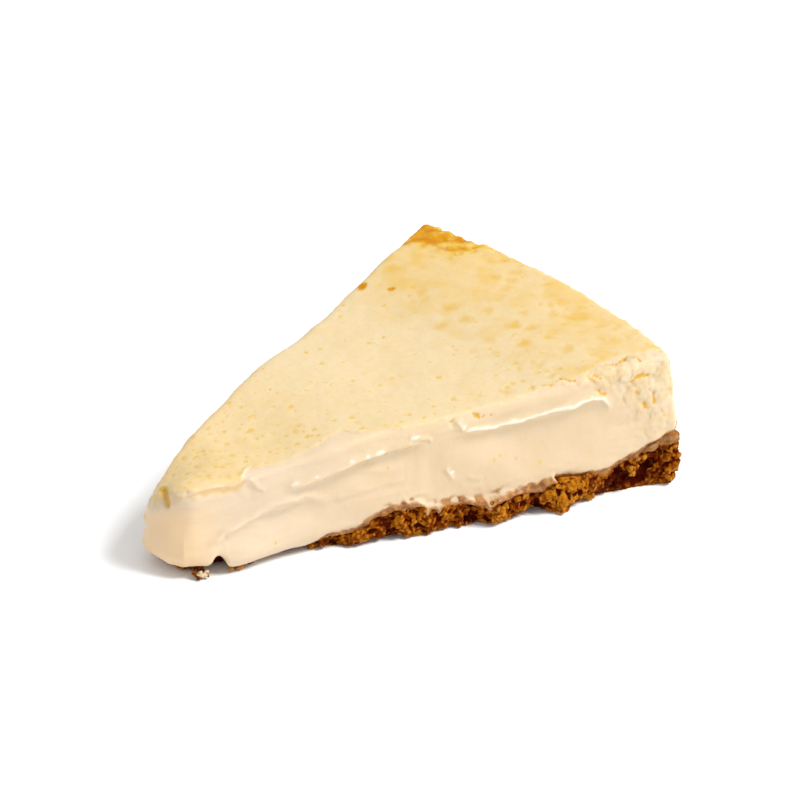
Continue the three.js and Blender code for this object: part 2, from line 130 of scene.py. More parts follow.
def through(points, at):
    """A smooth curve through (position, value) points, level beyond both ends."""
    x, y = np.array(points, float).T
    at = np.clip(np.asarray(at, float), x[0], x[-1])
    i = np.clip(np.searchsorted(x, at, side="right") - 1, 0, len(x) - 2)
    slope = np.gradient(y) / np.gradient(x)
    slope[1:-1] = (y[2:] - y[:-2]) / (x[2:] - x[:-2])
    width = x[i + 1] - x[i]
    t = (at - x[i]) / width
    return ((2 * t ** 3 - 3 * t ** 2 + 1) * y[i] + (t ** 3 - 2 * t ** 2 + t) * width * slope[i]
            + (3 * t ** 2 - 2 * t ** 3) * y[i + 1] + (t ** 3 - t ** 2) * width * slope[i + 1])


def grid_random(i, j, k):
    h = (i * 374761393 + j * 668265263 + k * 2147483647) & 0xFFFFFFFF
    h = ((h ^ (h >> 13)) * 1274126177) & 0xFFFFFFFF
    return (h ^ (h >> 16)) / 4294967296


def noise(x, y, z):
    """Smooth noise between -1 and 1 with bumps about one unit across."""
    x, y, z = np.broadcast_arrays(*(np.asarray(v, float) for v in (x, y, z)))
    cells = [np.floor(v).astype(np.int64) for v in (x, y, z)]
    u, v, w = (t * t * (3 - 2 * t) for t in (x - cells[0], y - cells[1], z - cells[2]))
    i, j, k = cells
    total = np.zeros(x.shape)
    for a in (0, 1):
        for b in (0, 1):
            for c in (0, 1):
                share = (u if a else 1 - u) * (v if b else 1 - v) * (w if c else 1 - w)
                total += share * grid_random(i + a, j + b, k + c)
    return 2 * total - 1


def fractal(x, y, z, octaves=3):
    """Noise of several sizes, each half as large and half as strong as the one before."""
    total, strength = 0.0, 1.0
    for octave in range(octaves):
        scale = 2.03 ** octave
        total = total + strength * noise(x * scale + 31 * octave, y * scale, z * scale)
        strength *= 0.5
    return total / 1.75


# The plan's outline
def plan_outline(step):
    """Evenly spaced samples round the plan, anticlockwise from the middle of the tip."""
    tip_half = TIP_CUT * math.tan(HALF_ANGLE)
    tip_distance = TIP_CUT / math.cos(HALF_ANGLE)
    rim_angle = math.asin(RIM_CORNER[1] / CAKE_RADIUS) - RIM_CORNER_ROUND / CAKE_RADIUS
    t = np.linspace(0, 1, 40)[:, None]

    def curve(a, corner, b):
        return (1 - t) ** 2 * a + 2 * t * (1 - t) * corner + t ** 2 * b

    angles = np.linspace(-rim_angle, rim_angle, 200)
    rim = np.stack([CAKE_CENTRE_X + CAKE_RADIUS * np.cos(angles), CAKE_RADIUS * np.sin(angles)], -1)
    near_corner = NEAR_DIRECTION * CUT_LENGTH
    parts = [
        np.array([[TIP_CUT, 0.0]]),
        curve(np.array([TIP_CUT, TIP_ROUND - tip_half]), NEAR_DIRECTION * tip_distance,
              NEAR_DIRECTION * (tip_distance + TIP_ROUND)),
        curve(NEAR_DIRECTION * (CUT_LENGTH - RIM_CORNER_ROUND), near_corner, rim[0]),
        rim,
        curve(rim[-1], RIM_CORNER, FAR_DIRECTION * (CUT_LENGTH - RIM_CORNER_ROUND)),
        curve(FAR_DIRECTION * (tip_distance + TIP_ROUND), FAR_DIRECTION * tip_distance,
              np.array([TIP_CUT, tip_half - TIP_ROUND])),
        np.array([[TIP_CUT, 0.0]]),
    ]
    line = np.concatenate(parts)
    length = np.concatenate([[0], np.cumsum(np.hypot(*np.diff(line, axis=0).T))])
    count = int(round(length[-1] / step))
    at = np.arange(count) * length[-1] / count
    point = np.stack([np.interp(at, length, line[:, 0]), np.interp(at, length, line[:, 1])], -1)
    reach = max(1, int(round(1.5 / step)))
    ahead = np.roll(point, -reach, 0) - np.roll(point, reach, 0)
    normal = np.stack([ahead[:, 1], -ahead[:, 0]], -1)
    normal /= np.linalg.norm(normal, axis=1)[:, None]
    return SimpleNamespace(
        point=point + normal * SWELL, normal=normal,
        near=smoothstep(normal @ NEAR_NORMAL, 0.72, 0.96), far=smoothstep(normal @ FAR_NORMAL, 0.72, 0.96),
        rim=smoothstep(normal[:, 0], 0.3, 0.8), tip=smoothstep(-normal[:, 0], 0.45, 0.9))


def part_of(o, chosen):
    return SimpleNamespace(**{key: value[chosen] for key, value in vars(o).items()})


def top_height(x, y):
    slump = TIP_SLUMP * (1 - smoothstep(x, TIP_CUT, 2 * TIP_CUT)) * smoothstep(y, -4, 7)
    tilt = RIM_TILT * y * smoothstep(x, 80, 105)
    return through(TOP_PROFILE, np.hypot(x, y)) + tilt - slump + 0.25 * noise(x / 14, y / 14, 3)


def edge_drop(o):
    """How far the top's edge lies below the top."""
    x, y = o.point.T
    towards_tip = 1 - smoothstep(x, TIP_CUT + 1, TIP_CUT + TIP_DROP_REACH)
    tip_drop = lerp(TIP_NEAR_DROP, TIP_FAR_DROP, smoothstep(y, -5, 5))
    plain = lerp(CUT_EDGE_DROP, RIM_EDGE_DROP, o.rim)
    uneven = 1 + 0.3 * noise(x / 5, y / 5, 9)
    return lerp(plain * uneven, tip_drop, np.maximum(o.tip, towards_tip))


def knife_relief(s, z):
    """The shelves that the knife left on the near cut."""
    relief = np.zeros(np.broadcast(s, z).shape)
    for lip, hollow, depth, path in KNIFE_LIPS:
        start, end = path[0][0], path[-1][0]
        fade = smoothstep(s, start - 1, start + LIP_FADE) * (1 - smoothstep(s, end - LIP_FADE, end + 1))
        above = z - through(path, s)
        below = hollow * smoothstep(-above, 0, 1.2) * (1 - smoothstep(-above, 2, depth))
        relief += fade * (lip * bump(above, LIP_WIDTH) - np.where(above < 0, below, 0))
    return relief


def rim_flare(o, z):
    foot = FOOT_ROUND * np.maximum(0, FOOT_HEIGHT - z)
    return o.rim * (RIM_FLARE * (RIM_HEIGHT - np.maximum(z, FOOT_HEIGHT)) - foot)


def filling_relief(o, z):
    x, y = o.point.T
    s = o.point @ NEAR_DIRECTION
    low = 1 - smoothstep(z, 0, DRAPE_BULGE_TOP)
    drape = DRAPE_BULGE_OUT * bump(s - DRAPE_BULGE_AT, DRAPE_BULGE_REACH) * low
    waves = 0.45 * noise(x / 9, y / 9, z / 7)
    far_waves = 0.5 * noise(s / 11, 4, z / 5)
    tuck = SKIRT_TUCK_IN * np.maximum(0, 1 - z / SKIRT_TUCK_FROM) ** 2 * np.maximum(o.near, o.tip)
    cuts = o.near * (knife_relief(s, z) + drape) + o.tip * TIP_BULGE * low
    return cuts + waves + o.far * far_waves - tuck + rim_flare(o, z)


def skirt_height(o):
    x = o.point[:, 0]
    return SKIRT_HEIGHT + TIP_SKIRT_LIFT * (1 - smoothstep(x, TIP_CUT + 3, TIP_CUT + 10))


def seam_height(x, y):
    """Height of the seam between base and filling."""
    place = np.stack([x, y], -1)
    to_rim = CAKE_RADIUS - np.hypot(x - CAKE_CENTRE_X, y)
    rise = RIM_RISE * np.clip(1 - to_rim / RIM_RISE_WIDTH, 0, 1.3) ** 1.2
    at_edge = 1 - smoothstep(-(place @ NEAR_NORMAL), 0, EDGE_BLEND)
    smear = through(NEAR_SMEAR, place @ NEAR_DIRECTION) - BASE_THICKNESS
    uneven = 0.7 * noise(x / 5, y / 5, 21)
    return BASE_THICKNESS + rise + at_edge * smear + (1 - at_edge) * uneven


def drape_share(o):
    """1 where the filling hangs down over the base, 0 where the base is open."""
    on_near = 1 - smoothstep(o.point @ NEAR_DIRECTION, NEAR_DRAPE_END - DRAPE_FADE, NEAR_DRAPE_END)
    on_far = 1 - smoothstep(o.point @ FAR_DIRECTION, FAR_DRAPE_END - DRAPE_FADE, FAR_DRAPE_END)
    return np.maximum(o.tip, np.where(o.point[:, 1] < 0, on_near, on_far))


def base_offset(o, z, crag_share=1.0):
    x, y = o.point.T
    covered = drape_share(o)
    rough = CRAG_DEPTH * (o.near + 0.8 * o.far + 0.35 * o.rim) * (1 - covered) * crag_share
    s = o.point @ NEAR_DIRECTION
    bulge = o.near * sum(out * bump(s - at, BASE_BULGE_WIDTH) for at, out in BASE_BULGES)
    crag = rough * noise(x / CRAG_SIZE, y / CRAG_SIZE, z / CRAG_SIZE)
    return crag + bulge + rim_flare(o, z) - DRAPE_INSET * covered


# Mesh helpers
def mesh_object(name, points, faces):
    mesh = bpy.data.meshes.new(name)
    mesh.from_pydata([tuple(p) for p in points], [], [tuple(int(i) for i in f) for f in faces])
    mesh.update()
    obj = bpy.data.objects.new(name, mesh)
    bpy.context.scene.collection.objects.link(obj)
    return obj


def rings_form(rings, bottom, top):
    """Points and faces of a closed form of rings, with a centre point at each end."""
    count = len(rings[0])
    i = np.arange(count)
    after = (i + 1) % count
    centre, last = len(rings) * count, (len(rings) - 1) * count
    faces = np.stack([np.full(count, centre), after, i], -1).tolist()
    for start in range(0, last, count):
        faces += np.stack([start + i, start + after, start + after + count, start + i + count], -1).tolist()
    faces += np.stack([np.full(count, centre + 1), last + i, last + after], -1).tolist()
    return np.concatenate([*rings, [bottom], [top]]), faces


def joined(name, forms):
    """One object of several closed forms, each given by its points and faces."""
    points, faces, start = [], [], 0
    for form_points, form_faces in forms:
        points.append(form_points)
        faces += (np.array(form_faces) + start).tolist() if isinstance(form_faces, np.ndarray) else [
            [i + start for i in face] for face in form_faces]
        start += len(form_points)
    return mesh_object(name, np.concatenate(points), faces)


def read(items, name, width, kind=np.float32):
    values = np.empty(len(items) * width, kind)
    items.foreach_get(name, values)
    return values.reshape(-1, width)


def get_points(obj):
    return read(obj.data.vertices, "co", 3).astype(float)


def get_normals(obj):
    return read(obj.data.vertex_normals, "vector", 3).astype(float)


def get_edges(obj):
    return read(obj.data.edges, "vertices", 2, np.int32)


def set_points(obj, points):
    obj.data.vertices.foreach_set("co", points.astype(np.float32).ravel())
    obj.data.update()


def add_masks(obj, **masks):
    for name, values in masks.items():
        attribute = obj.data.attributes.new(name, "FLOAT", "POINT")
        attribute.data.foreach_set("value", np.clip(values, 0, 1).astype(np.float32))


def neighbour_mean(values, edges, rounds=1):
    """Values averaged with those of the neighbouring points, so many times over."""
    values = np.array(values, float)
    columns = values[:, None] if values.ndim == 1 else values
    here, there = edges.T
    count = len(columns)
    links = np.maximum(np.bincount(edges.ravel(), minlength=count), 1)
    for _ in range(rounds):
        sums = [np.bincount(here, c[there], count) + np.bincount(there, c[here], count) for c in columns.T]
        columns = 0.5 * columns + 0.5 * np.stack(sums, -1) / links[:, None]
    return columns[:, 0] if values.ndim == 1 else columns


def remesh(obj, voxel):
    """Turns a heap of closed forms into one even skin."""
    modifier = obj.modifiers.new("skin", "REMESH")
    modifier.mode = "VOXEL"
    modifier.voxel_size = voxel
    bpy.context.view_layer.update()
    evaluated = obj.evaluated_get(bpy.context.evaluated_depsgraph_get())
    mesh = bpy.data.meshes.new_from_object(evaluated)
    obj.modifiers.clear()
    old = obj.data
    obj.data = mesh
    bpy.data.meshes.remove(old)
    mesh.polygons.foreach_set("use_smooth", np.ones(len(mesh.polygons), bool))
    mesh.update()


def seed_tree(seeds):
    tree = kdtree.KDTree(len(seeds))
    for i, seed in enumerate(seeds):
        tree.insert(seed, i)
    tree.balance()
    return tree


def nearest(seeds, points):
    """Distance to, and number of, the seed nearest each point."""
    tree = seed_tree(seeds)
    number, distance = zip(*(tree.find(p)[1:] for p in points))
    return np.array(distance), np.array(number)


def path_distance(path, s, z):
    """Distance to a broken line, the side of it (1 above, -1 below) and how far along it (0 to 1)."""
    path = np.array(path, float)
    best = np.full(s.shape, 1e9)
    side = np.zeros(s.shape)
    share = np.zeros(s.shape)
    steps = np.hypot(*np.diff(path, axis=0).T)
    total = steps.sum()
    done = 0.0
    for (a, b), step in zip(zip(path[:-1], path[1:]), steps):
        d = (b - a) / step
        t = np.clip((s - a[0]) * d[0] + (z - a[1]) * d[1], 0, step)
        ds, dz = s - a[0] - t * d[0], z - a[1] - t * d[1]
        distance = np.hypot(ds, dz)
        closer = distance < best
        best = np.where(closer, distance, best)
        side = np.where(closer, np.where(d[0] * dz - d[1] * ds >= 0, 1.0, -1.0), side)
        share = np.where(closer, (done + t) / total, share)
        done += step
    return best, side, share


# The filling
FILLING_STEP = 0.8
WALL_LEVELS = 30
TOP_SHARES = [0.995, 0.985, 0.97, 0.95, 0.93, 0.9, 0.85, 0.78, 0.7, 0.6, 0.5, 0.38, 0.25, 0.12]
SEAM_SHARES = [0.05, 0.3, 0.5, 0.65, 0.75, 0.82, 0.88, 0.93, 0.97]
EDGE_ROUNDING = 0.5
SKIRT_ROUNDING = 0.3
# A hole in the filling's lower edge near the tip: distance along the near cut, half width and rise
EDGE_HOLE = (24.3, 1.35, 2.3)
# Cream dragged down over the base: (distance along the near cut, half width, how far below the seam)
DRAGS = [(56.5, 1.0, 0.5), (59.5, 1.4, 0.5), (62.8, 1.8, 0.9), (65.9, 0.6, 2.3), (68.4, 0.5, 2.1),
         (72, 1.4, 0.5), (75, 1.0, 0.3), (78.0, 0.7, 2.2), (82, 1.6, 0.2)]
DRAG_FROM = 54.5


def towards_hub(points, share):
    return HUB + (points - HUB) * share


def with_z(points, z):
    return np.column_stack([points, z])


def filling_form():
    o = plan_outline(FILLING_STEP)
    point, normal = o.point, o.normal
    covered = drape_share(o)
    inset = point - normal * (DRAPE_INSET * covered)[:, None]
    edge_seam = seam_height(*inset.T)
    ragged = 0.35 * fractal(point[:, 0] / 2.3, point[:, 1] / 2.3, 5)
    at, width, rise = EDGE_HOLE
    hole = rise * np.exp(-((point @ NEAR_DIRECTION - at) / width) ** 4) * o.near
    low = lerp(edge_seam + ragged, skirt_height(o) + 0.7 * ragged + hole, covered)
    rings = []
    for share in SEAM_SHARES:
        place = towards_hub(inset, share)
        rings.append(with_z(place, seam_height(*place.T) - 0.15))
    rings.append(with_z(inset - normal * 0.2, edge_seam - 0.15))
    rings.append(with_z(point - normal * lerp(1.0, 2.3, covered)[:, None], low))
    top = top_height(*point.T) - edge_drop(o)
    for level in range(WALL_LEVELS + 1):
        z = lerp(low, top, level / WALL_LEVELS)
        rounding = lerp(EDGE_ROUNDING, SKIRT_ROUNDING, covered) * (1 - np.minimum(1, (z - low) / 1.4)) ** 2
        rings.append(with_z(point + normal * (filling_relief(o, z) - rounding)[:, None], z))
    for share in TOP_SHARES:
        inward = np.clip((1 - share) / EDGE_ROUND_SHARE, 0, 1)
        round_up = math.sqrt(1 - (1 - inward) ** 2)
        out = filling_relief(o, top) * (1 - inward)
        place = towards_hub(point, share) + normal * out[:, None]
        rings.append(with_z(place, top_height(*place.T) - edge_drop(o) * (1 - round_up)))
    bottom = [*HUB, float(seam_height(*HUB)) - 0.15]
    return rings_form(rings, bottom, [*HUB, float(top_height(*HUB))])


def drag_depth(s):
    """How far below the seam the dragged cream reaches."""
    reach = sum(depth * bump(s - at, width) for at, width, depth in DRAGS)
    return 0.8 * reach - 0.15 + 0.35 * noise(s / 0.9, 3, 8) + 0.25 * noise(s / 0.45, 5, 8)


def dragged_cream():
    """A thin ragged film of cream that runs from the foot of the filling's wall down over the base's side."""
    o = plan_outline(0.35)
    s = o.point @ NEAR_DIRECTION
    bare = (o.near > 0.98) & (s > DRAG_FROM) & (s < CORNER_LIFT_FROM - 8)
    o = part_of(o, bare)
    point, normal, s = o.point, o.normal, s[bare]
    seam = seam_height(*point.T)
    depth = np.maximum(drag_depth(s), 0.1)
    front, back = [], []
    for level in np.linspace(0, 1, 12):
        z = seam + 1.2 - level * (depth + 1.2)
        wall = filling_relief(o, seam + 1.2) - 0.1
        slide = smoothstep(level, 0.0, 0.55)
        out = lerp(wall, np.maximum(base_side(o, z) + 0.25, wall - 0.6), slide)
        thick = 0.2 * smoothstep(level, 0, 0.4) * (1 - 0.8 * level)
        front.append(with_z(point + normal * (out + thick)[:, None], z))
        back.append(with_z(point + normal * (out - lerp(1.6, 0.8, level))[:, None], z - 0.3 * (1 - level)))
    count, levels = len(point), len(front)
    points = np.concatenate(front + back)
    index = np.arange(2 * levels * count).reshape(2, levels, count)
    loop = np.concatenate([index[0], index[1][::-1]])
    loop = np.concatenate([loop, loop[:1]])
    a, b, c, d = loop[:-1, :-1], loop[:-1, 1:], loop[1:, 1:], loop[1:, :-1]
    faces = np.stack([a, b, c, d], -1).reshape(-1, 4).tolist()
    faces.append(loop[:-1, 0].tolist())
    faces.append(loop[:-1, -1][::-1].tolist())
    return points, faces


# Where the browned skin ends: (distance along the near cut, inward of the edge, or below it if negative)
SKIN_EDGE = [(14, 1.2), (17.6, 1.3), (20.9, 0.4), (24.5, -0.2), (28.9, -0.3), (31.0, 2.0), (33.4, 2.3),
             (38.3, 1.3), (43.7, 2.4), (48.2, 3.7), (51.0, 4.3), (52.4, 2.6), (54.4, 1.7), (57.2, 1.2),
             (60.9, 0.4), (66, -0.1), (71.2, 0.2), (78, 0.5), (86.1, 0.8), (93.4, 1.0), (96.3, 0.8),
             (99.9, 1.9), (102.9, 3.2), (106.9, 3.9), (114, 3.6), (117, 3.4)]
# Where the crumbly corner begins: (depth below the top, distance along the near cut)
TORN_FROM = [(0, 92), (2, 97.5), (4, 101.5), (6, 104.5), (10, 107.5), (14, 108), (18, 111)]

# Strokes of the knife on the near cut: path of (distance along the cut, height), lip height and width, hollow
# below it and the hollow's reach
STROKES = [
    ([(71.3, 20.9), (72.9, 20.7), (76.5, 20.2), (79.4, 20.0), (83.6, 20.5), (86.6, 20.7), (90.6, 21.1),
      (94.4, 21.5), (97.6, 22.1), (99.2, 22.5), (101.3, 21.8), (102.7, 20.2), (103.4, 18.0)],
     0.45, 0.36, 0.08, 5.0),
    ([(21.5, 6.2), (23.1, 7.3), (26.5, 9.2), (30.1, 10.6), (34.6, 12.1), (38.6, 12.8), (41.7, 12.8),
      (44.8, 12.5)], 0.3, 0.6, 0.28, 2.6),
    ([(30.6, 19.0), (31.2, 18.0), (32.4, 16.6), (34.3, 15.6)], 0.2, 0.45, 0.05, 1.8),
    ([(29.2, 18.0), (30.3, 17.0), (31.5, 14.8)], -0.12, 0.7, 0.0, 1.5),
    ([(69.6, 13.4), (70.3, 12.0), (71.6, 10.4)], 0.26, 0.5, 0.0, 1.2),
    ([(72.6, 9.2), (74.6, 8.2), (77.8, 7.4)], 0.12, 0.6, 0.0, 1.2),
    ([(73.8, 10.8), (75.2, 9.8), (77.4, 9.0)], 0.12, 0.6, 0.0, 1.2),
    ([(55, 5.8), (56.4, 6.8), (58.4, 7.2), (60.2, 7.7), (62.4, 8.6), (66.9, 8.4)], 0.08, 0.45, 0.05, 1.2),
    ([(70.8, 22.9), (71.2, 21.8), (71.2, 20.9)], -0.22, 0.5, 0.0, 1.2),
    ([(72.2, 22.4), (72.9, 21.4), (73.6, 20.9)], 0.3, 0.5, 0.0, 1.2),
    ([(62.0, 20.8), (64.6, 20.8), (66.1, 20.3), (67.3, 19.3)], 0.24, 0.35, 0.1, 1.3),
    ([(37.5, 15.4), (39.6, 15.8), (43.9, 16.5), (50.9, 18.5), (56.0, 19.1), (59, 19.2)], 0.3, 0.8, 0.06, 1.6),
    ([(47, 10.2), (52, 11.8), (57, 12.4), (62, 12.2)], 0.12, 0.9, 0.1, 2.5),
    ([(82, 5.0), (86, 5.8), (90, 6.6), (95, 7.1)], 0.12, 0.5, 0.0, 1.2),
]
# Up to where the near cut is stained by the crumbs under it: (distance along the cut, height)
STAIN_EDGE = [(46, 3.0), (49.7, 4.0), (52, 4.4), (54.5, 6.4), (56.5, 7.4), (60.4, 7.9), (62.3, 7.3),
              (65.5, 6.3), (68, 5.5), (70.6, 5.6), (76, 5.8), (82, 6.1), (86, 6.6), (90, 7.1), (93, 7.2),
              (97.4, 6.4), (102, 5.8)]
# Small spots of painted highlight where the wet near cut shines: (distance along the cut, height, half
# length)
GLINTS = [(39.6, 16.0, 0.9), (43.9, 16.7, 0.5), (50.9, 18.7, 0.6), (54.0, 19.0, 0.5), (56.6, 19.3, 1.3),
          (73.4, 21.0, 0.7), (63.5, 20.8, 1.0), (96.5, 22.0, 1.2), (71.0, 12.0, 0.6)]
# Small yellow specks in the cut
CUT_SPECKS = [(35.5, 4.7), (79.6, 12.9), (80.9, 13.5), (89.0, 10.5), (84.2, 12.2), (58.3, 15.2)]
# Orange cracks at the skin's edge: strength and path of (distance along the near cut, inward of the edge)
CRACKS = [
    (1.0, [(103.2, 2.2), (104.2, 2.0), (105, 1.6), (106.2, 2.4), (107.5, 3.0)]),
    (0.8, [(108.2, 2.9), (109.2, 2.4), (109.8, 1.6), (109.8, 0.9)]),
    (1.0, [(107.6, -3.7), (108.4, -3.0), (109.6, -2.6), (110.9, -2.9)]),
    (0.4, [(112.0, -3.2), (113.4, -2.6)]),
    (0.8, [(93.8, 1.9), (94.9, 0.8), (95.9, 0.1)]),
    (0.6, [(98.6, 0.6), (98.9, -0.5), (99.6, -1.4)]),
    (0.7, [(100.2, 0.3), (101.1, -1.3)]),
    (0.7, [(99.8, -3.0), (101.0, -4.2), (102.2, -4.8)]),
    (0.5, [(90.2, 1.8), (92.4, 1.0)]),
    (0.5, [(70.9, -0.8), (71.6, -0.3)]),
    (0.9, [(75.6, 0.0), (76.1, -0.7), (76.6, -1.3)]),
    (0.5, [(77.4, -1.5), (79.0, -1.4)]),
    (0.5, [(104.3, -0.4), (105.4, -1.1)]),
    (0.6, [(111.2, -5.9), (112.2, -7.2), (112.4, -8.9)]),
    (0.6, [(110.0, -8.9), (110.8, -9.8)]),
    (0.5, [(113.6, -10.5), (114.3, -12.2)]),
    (0.5, [(108.6, -6.0), (109.5, -6.9)]),
]
CRACK_DEPTH = 0.3


def near_strokes(s, z):
    """The finer strokes of the knife."""
    relief = np.zeros(s.shape)
    for path, lip, width, hollow, reach in STROKES:
        distance, side, share = path_distance(path, s, z)
        ends = smoothstep(share, 0, 0.12) * (1 - smoothstep(share, 0.88, 1.0))
        under = hollow * smoothstep(distance, 0.1, 0.9) * (1 - smoothstep(distance, 1, reach))
        relief += ends * (lip * bump(distance, width) - np.where(side < 0, under, 0))
    return relief


def inside(points, low, high, soft):
    """1 where values lie between low and high, fading over soft on both sides."""
    return smoothstep(points, low - soft, low + soft) * (1 - smoothstep(points, high - soft, high + soft))


# Browned spots on the top, and paler golden ones: (x, y, radius, strength)
SPOTS = [(86.2, 26.6, 1.5, 1.0), (89.5, 21.8, 1.1, 0.8), (107.9, 33.4, 1.3, 1.0)]
GOLDEN_SPOTS = [(92.0, 2.6, 2.0, 0.8), (96.5, -6.4, 1.9, 1.0), (94.0, -12.6, 1.6, 0.8),
                (91.0, -20.9, 1.2, 0.6), (105.0, -22.2, 1.4, 0.7), (92.7, 7.9, 2.2, 0.7),
                (91.7, 13.9, 1.6, 0.5), (89.6, -25.6, 1.1, 0.6), (107.4, -13.5, 1.8, 0.6),
                (108.5, -6.5, 1.9, 0.6), (98.3, -9.5, 1.7, 0.8), (88.0, 5.0, 1.6, 0.5),
                (26.6, -6.7, 0.8, 1.0), (31.9, -10.6, 0.8, 1.0), (72.4, -17.5, 0.7, 0.9)]
FLECK_COUNT = 280
MOTTLE_COUNT = 110
# Width of the browned band along the rim, and how brown it is: (y, value)
BROWN_BAND = [(-20, 2.0), (-2.7, 3.2), (6, 3.8), (11.4, 4.8), (15.8, 7.6), (20, 9.4), (27, 10.2), (36, 11)]
BAND_STRENGTH = [(-22, 0.05), (-10, 0.12), (5, 0.25), (12, 0.34), (16, 0.3), (19.5, 0.26), (22.5, 0.7),
                 (27, 1.0), (34, 1.15)]
# The split in the tip's skin, in plan, with its half width and depth
TIP_SPLIT = [(15.2, -3.0), (17.3, 0.2), (18.4, 2.2)]
TIP_SPLIT_WIDTH = 0.7
TIP_SPLIT_DEPTH = 0.55
# The tip's near corner, in plan, and how softly it is rounded off
TIP_CORNER = (16.4, -5.0)
TIP_CORNER_SOFT = 2.4
CURD_COUNT = 260


def curd_lumps(points, picked):
    """Heights of rounded curds of mixed sizes, and a random tone for each, on the picked points."""
    seeds = rng.choice(picked, size=min(len(picked), CURD_COUNT), replace=False)
    x, y, z = points[picked].T
    warp = 0.45 * np.stack([noise(x / 1.2, y / 1.2, z / 1.2 + shift) for shift in (0, 9, 18)], -1)
    distance, number = nearest(points[seeds], points[picked] + warp)
    radius = 0.6 + 1.5 * rng.uniform(0, 1, len(seeds)) ** 1.5
    height = np.sqrt(np.clip(1 - (distance / radius[number]) ** 2, 0, 1)) * np.minimum(radius[number], 1.3)
    return height, rng.uniform(0, 1, len(seeds))[number]


def blotches(points, share, count, small, large, soft, warp):
    """Soft blotches of mixed sizes and strengths at chance places, more of them where share is larger."""
    picked = np.flatnonzero(share > 0.02)
    seeds = rng.choice(picked, size=count, replace=False, p=share[picked] / share[picked].sum())
    radius = lerp(small, large, rng.uniform(0, 1, count) ** 2)
    strength = rng.uniform(0.4, 1, count)
    x, y = points[picked, :2].T
    bent = warp * np.stack([noise(x / small, y / small, shift) for shift in (0, 9, 18)], -1)
    distance, number = nearest(points[seeds], points[picked] + bent)
    result = np.zeros(len(points))
    result[picked] = strength[number] * (1 - smoothstep(distance / radius[number], 1 - soft, 1 + soft))
    return result


def filling_places(obj):
    """Where each point of the filling lies and which way it faces."""
    points, normals = get_points(obj), get_normals(obj)
    x, y, z = points.T
    plan, flat = points[:, :2], normals[:, :2]
    s, depth, seam = plan @ NEAR_DIRECTION, top_height(x, y) - z, seam_height(x, y)
    side = 1 - smoothstep(np.abs(normals[:, 2]), 0.6, 0.85)
    draped = np.maximum(1 - smoothstep(s, NEAR_DRAPE_END - DRAPE_FADE, NEAR_DRAPE_END), x < 24)
    return SimpleNamespace(
        points=points, normals=normals, edges=get_edges(obj), x=x, y=y, z=z, s=s, s_far=plan @ FAR_DIRECTION,
        depth=depth, above_seam=z - seam, draped=draped, under=(z < seam + 0.2) & (draped < 0.5),
        fold=-(plan @ NEAR_NORMAL) + SWELL - np.maximum(depth, 0),
        far_fold=-(plan @ FAR_NORMAL) + SWELL - np.maximum(depth, 0),
        to_rim=CAKE_RADIUS + SWELL - np.hypot(x - CAKE_CENTRE_X, y),
        upward=smoothstep(normals[:, 2], 0.35, 0.75), side=side,
        near=smoothstep(flat @ NEAR_NORMAL, 0.5, 0.8) * side,
        far=smoothstep(flat @ FAR_NORMAL, 0.5, 0.8) * side,
        rim=smoothstep(normals[:, 0], 0.45, 0.8) * side,
        foot=smoothstep(flat @ NEAR_NORMAL, 0.0, 0.3), film_side=flat @ NEAR_NORMAL > 0.2)


def find_skin(p):
    """How far inside the edge of the browned skin each point is, and how much of it is skin."""
    wobble = 0.4 * fractal(p.s / 2.6, p.z / 2.6, 2.0) + 0.25 * noise(p.s / 0.8, p.z / 0.8, 8)
    p.v_near = p.fold - through(SKIN_EDGE, p.s) + wobble
    v_far = p.far_fold + 0.6 + wobble
    v_tip = (p.x - TIP_CUT) - np.maximum(p.depth, 0) * 1.1 + 1.6 + 1.5 * noise(p.y / 2.4, 3, 3) + wobble
    p.v = np.minimum(np.minimum(p.v_near, v_far), v_tip)
    p.skin = smoothstep(p.v, -0.15, 0.25)
    p.at_tip = 1 - smoothstep(p.s, 29, 33)


def skin_lip_relief(p):
    """Broad waves, the lip of torn skin and the hollow under it."""
    x, y, z = p.x, p.y, p.z
    lift = 0.18 * fractal(x / 6, y / 6, z / 6) * (0.5 + 0.5 * p.upward)
    lift += p.upward * p.skin * (0.07 * fractal(x / 1.6, y / 1.6, 7) + 0.2 * smoothstep(p.v, -0.1, 0.4))
    off_tip = smoothstep(x - TIP_CUT, 0.8, 3.0)
    p.lip = bump(p.v_near - 0.25, 0.35) * off_tip * (0.6 + 0.6 * noise(p.s / 1.7, 2, 6))
    below = off_tip * np.maximum(p.near, 1 - p.upward)
    p.undercut = bump(p.v_near + 0.9, 0.8) * (0.2 + 0.8 * p.at_tip) * below
    return lift + (0.12 + 0.14 * p.at_tip) * p.lip - 0.3 * p.undercut


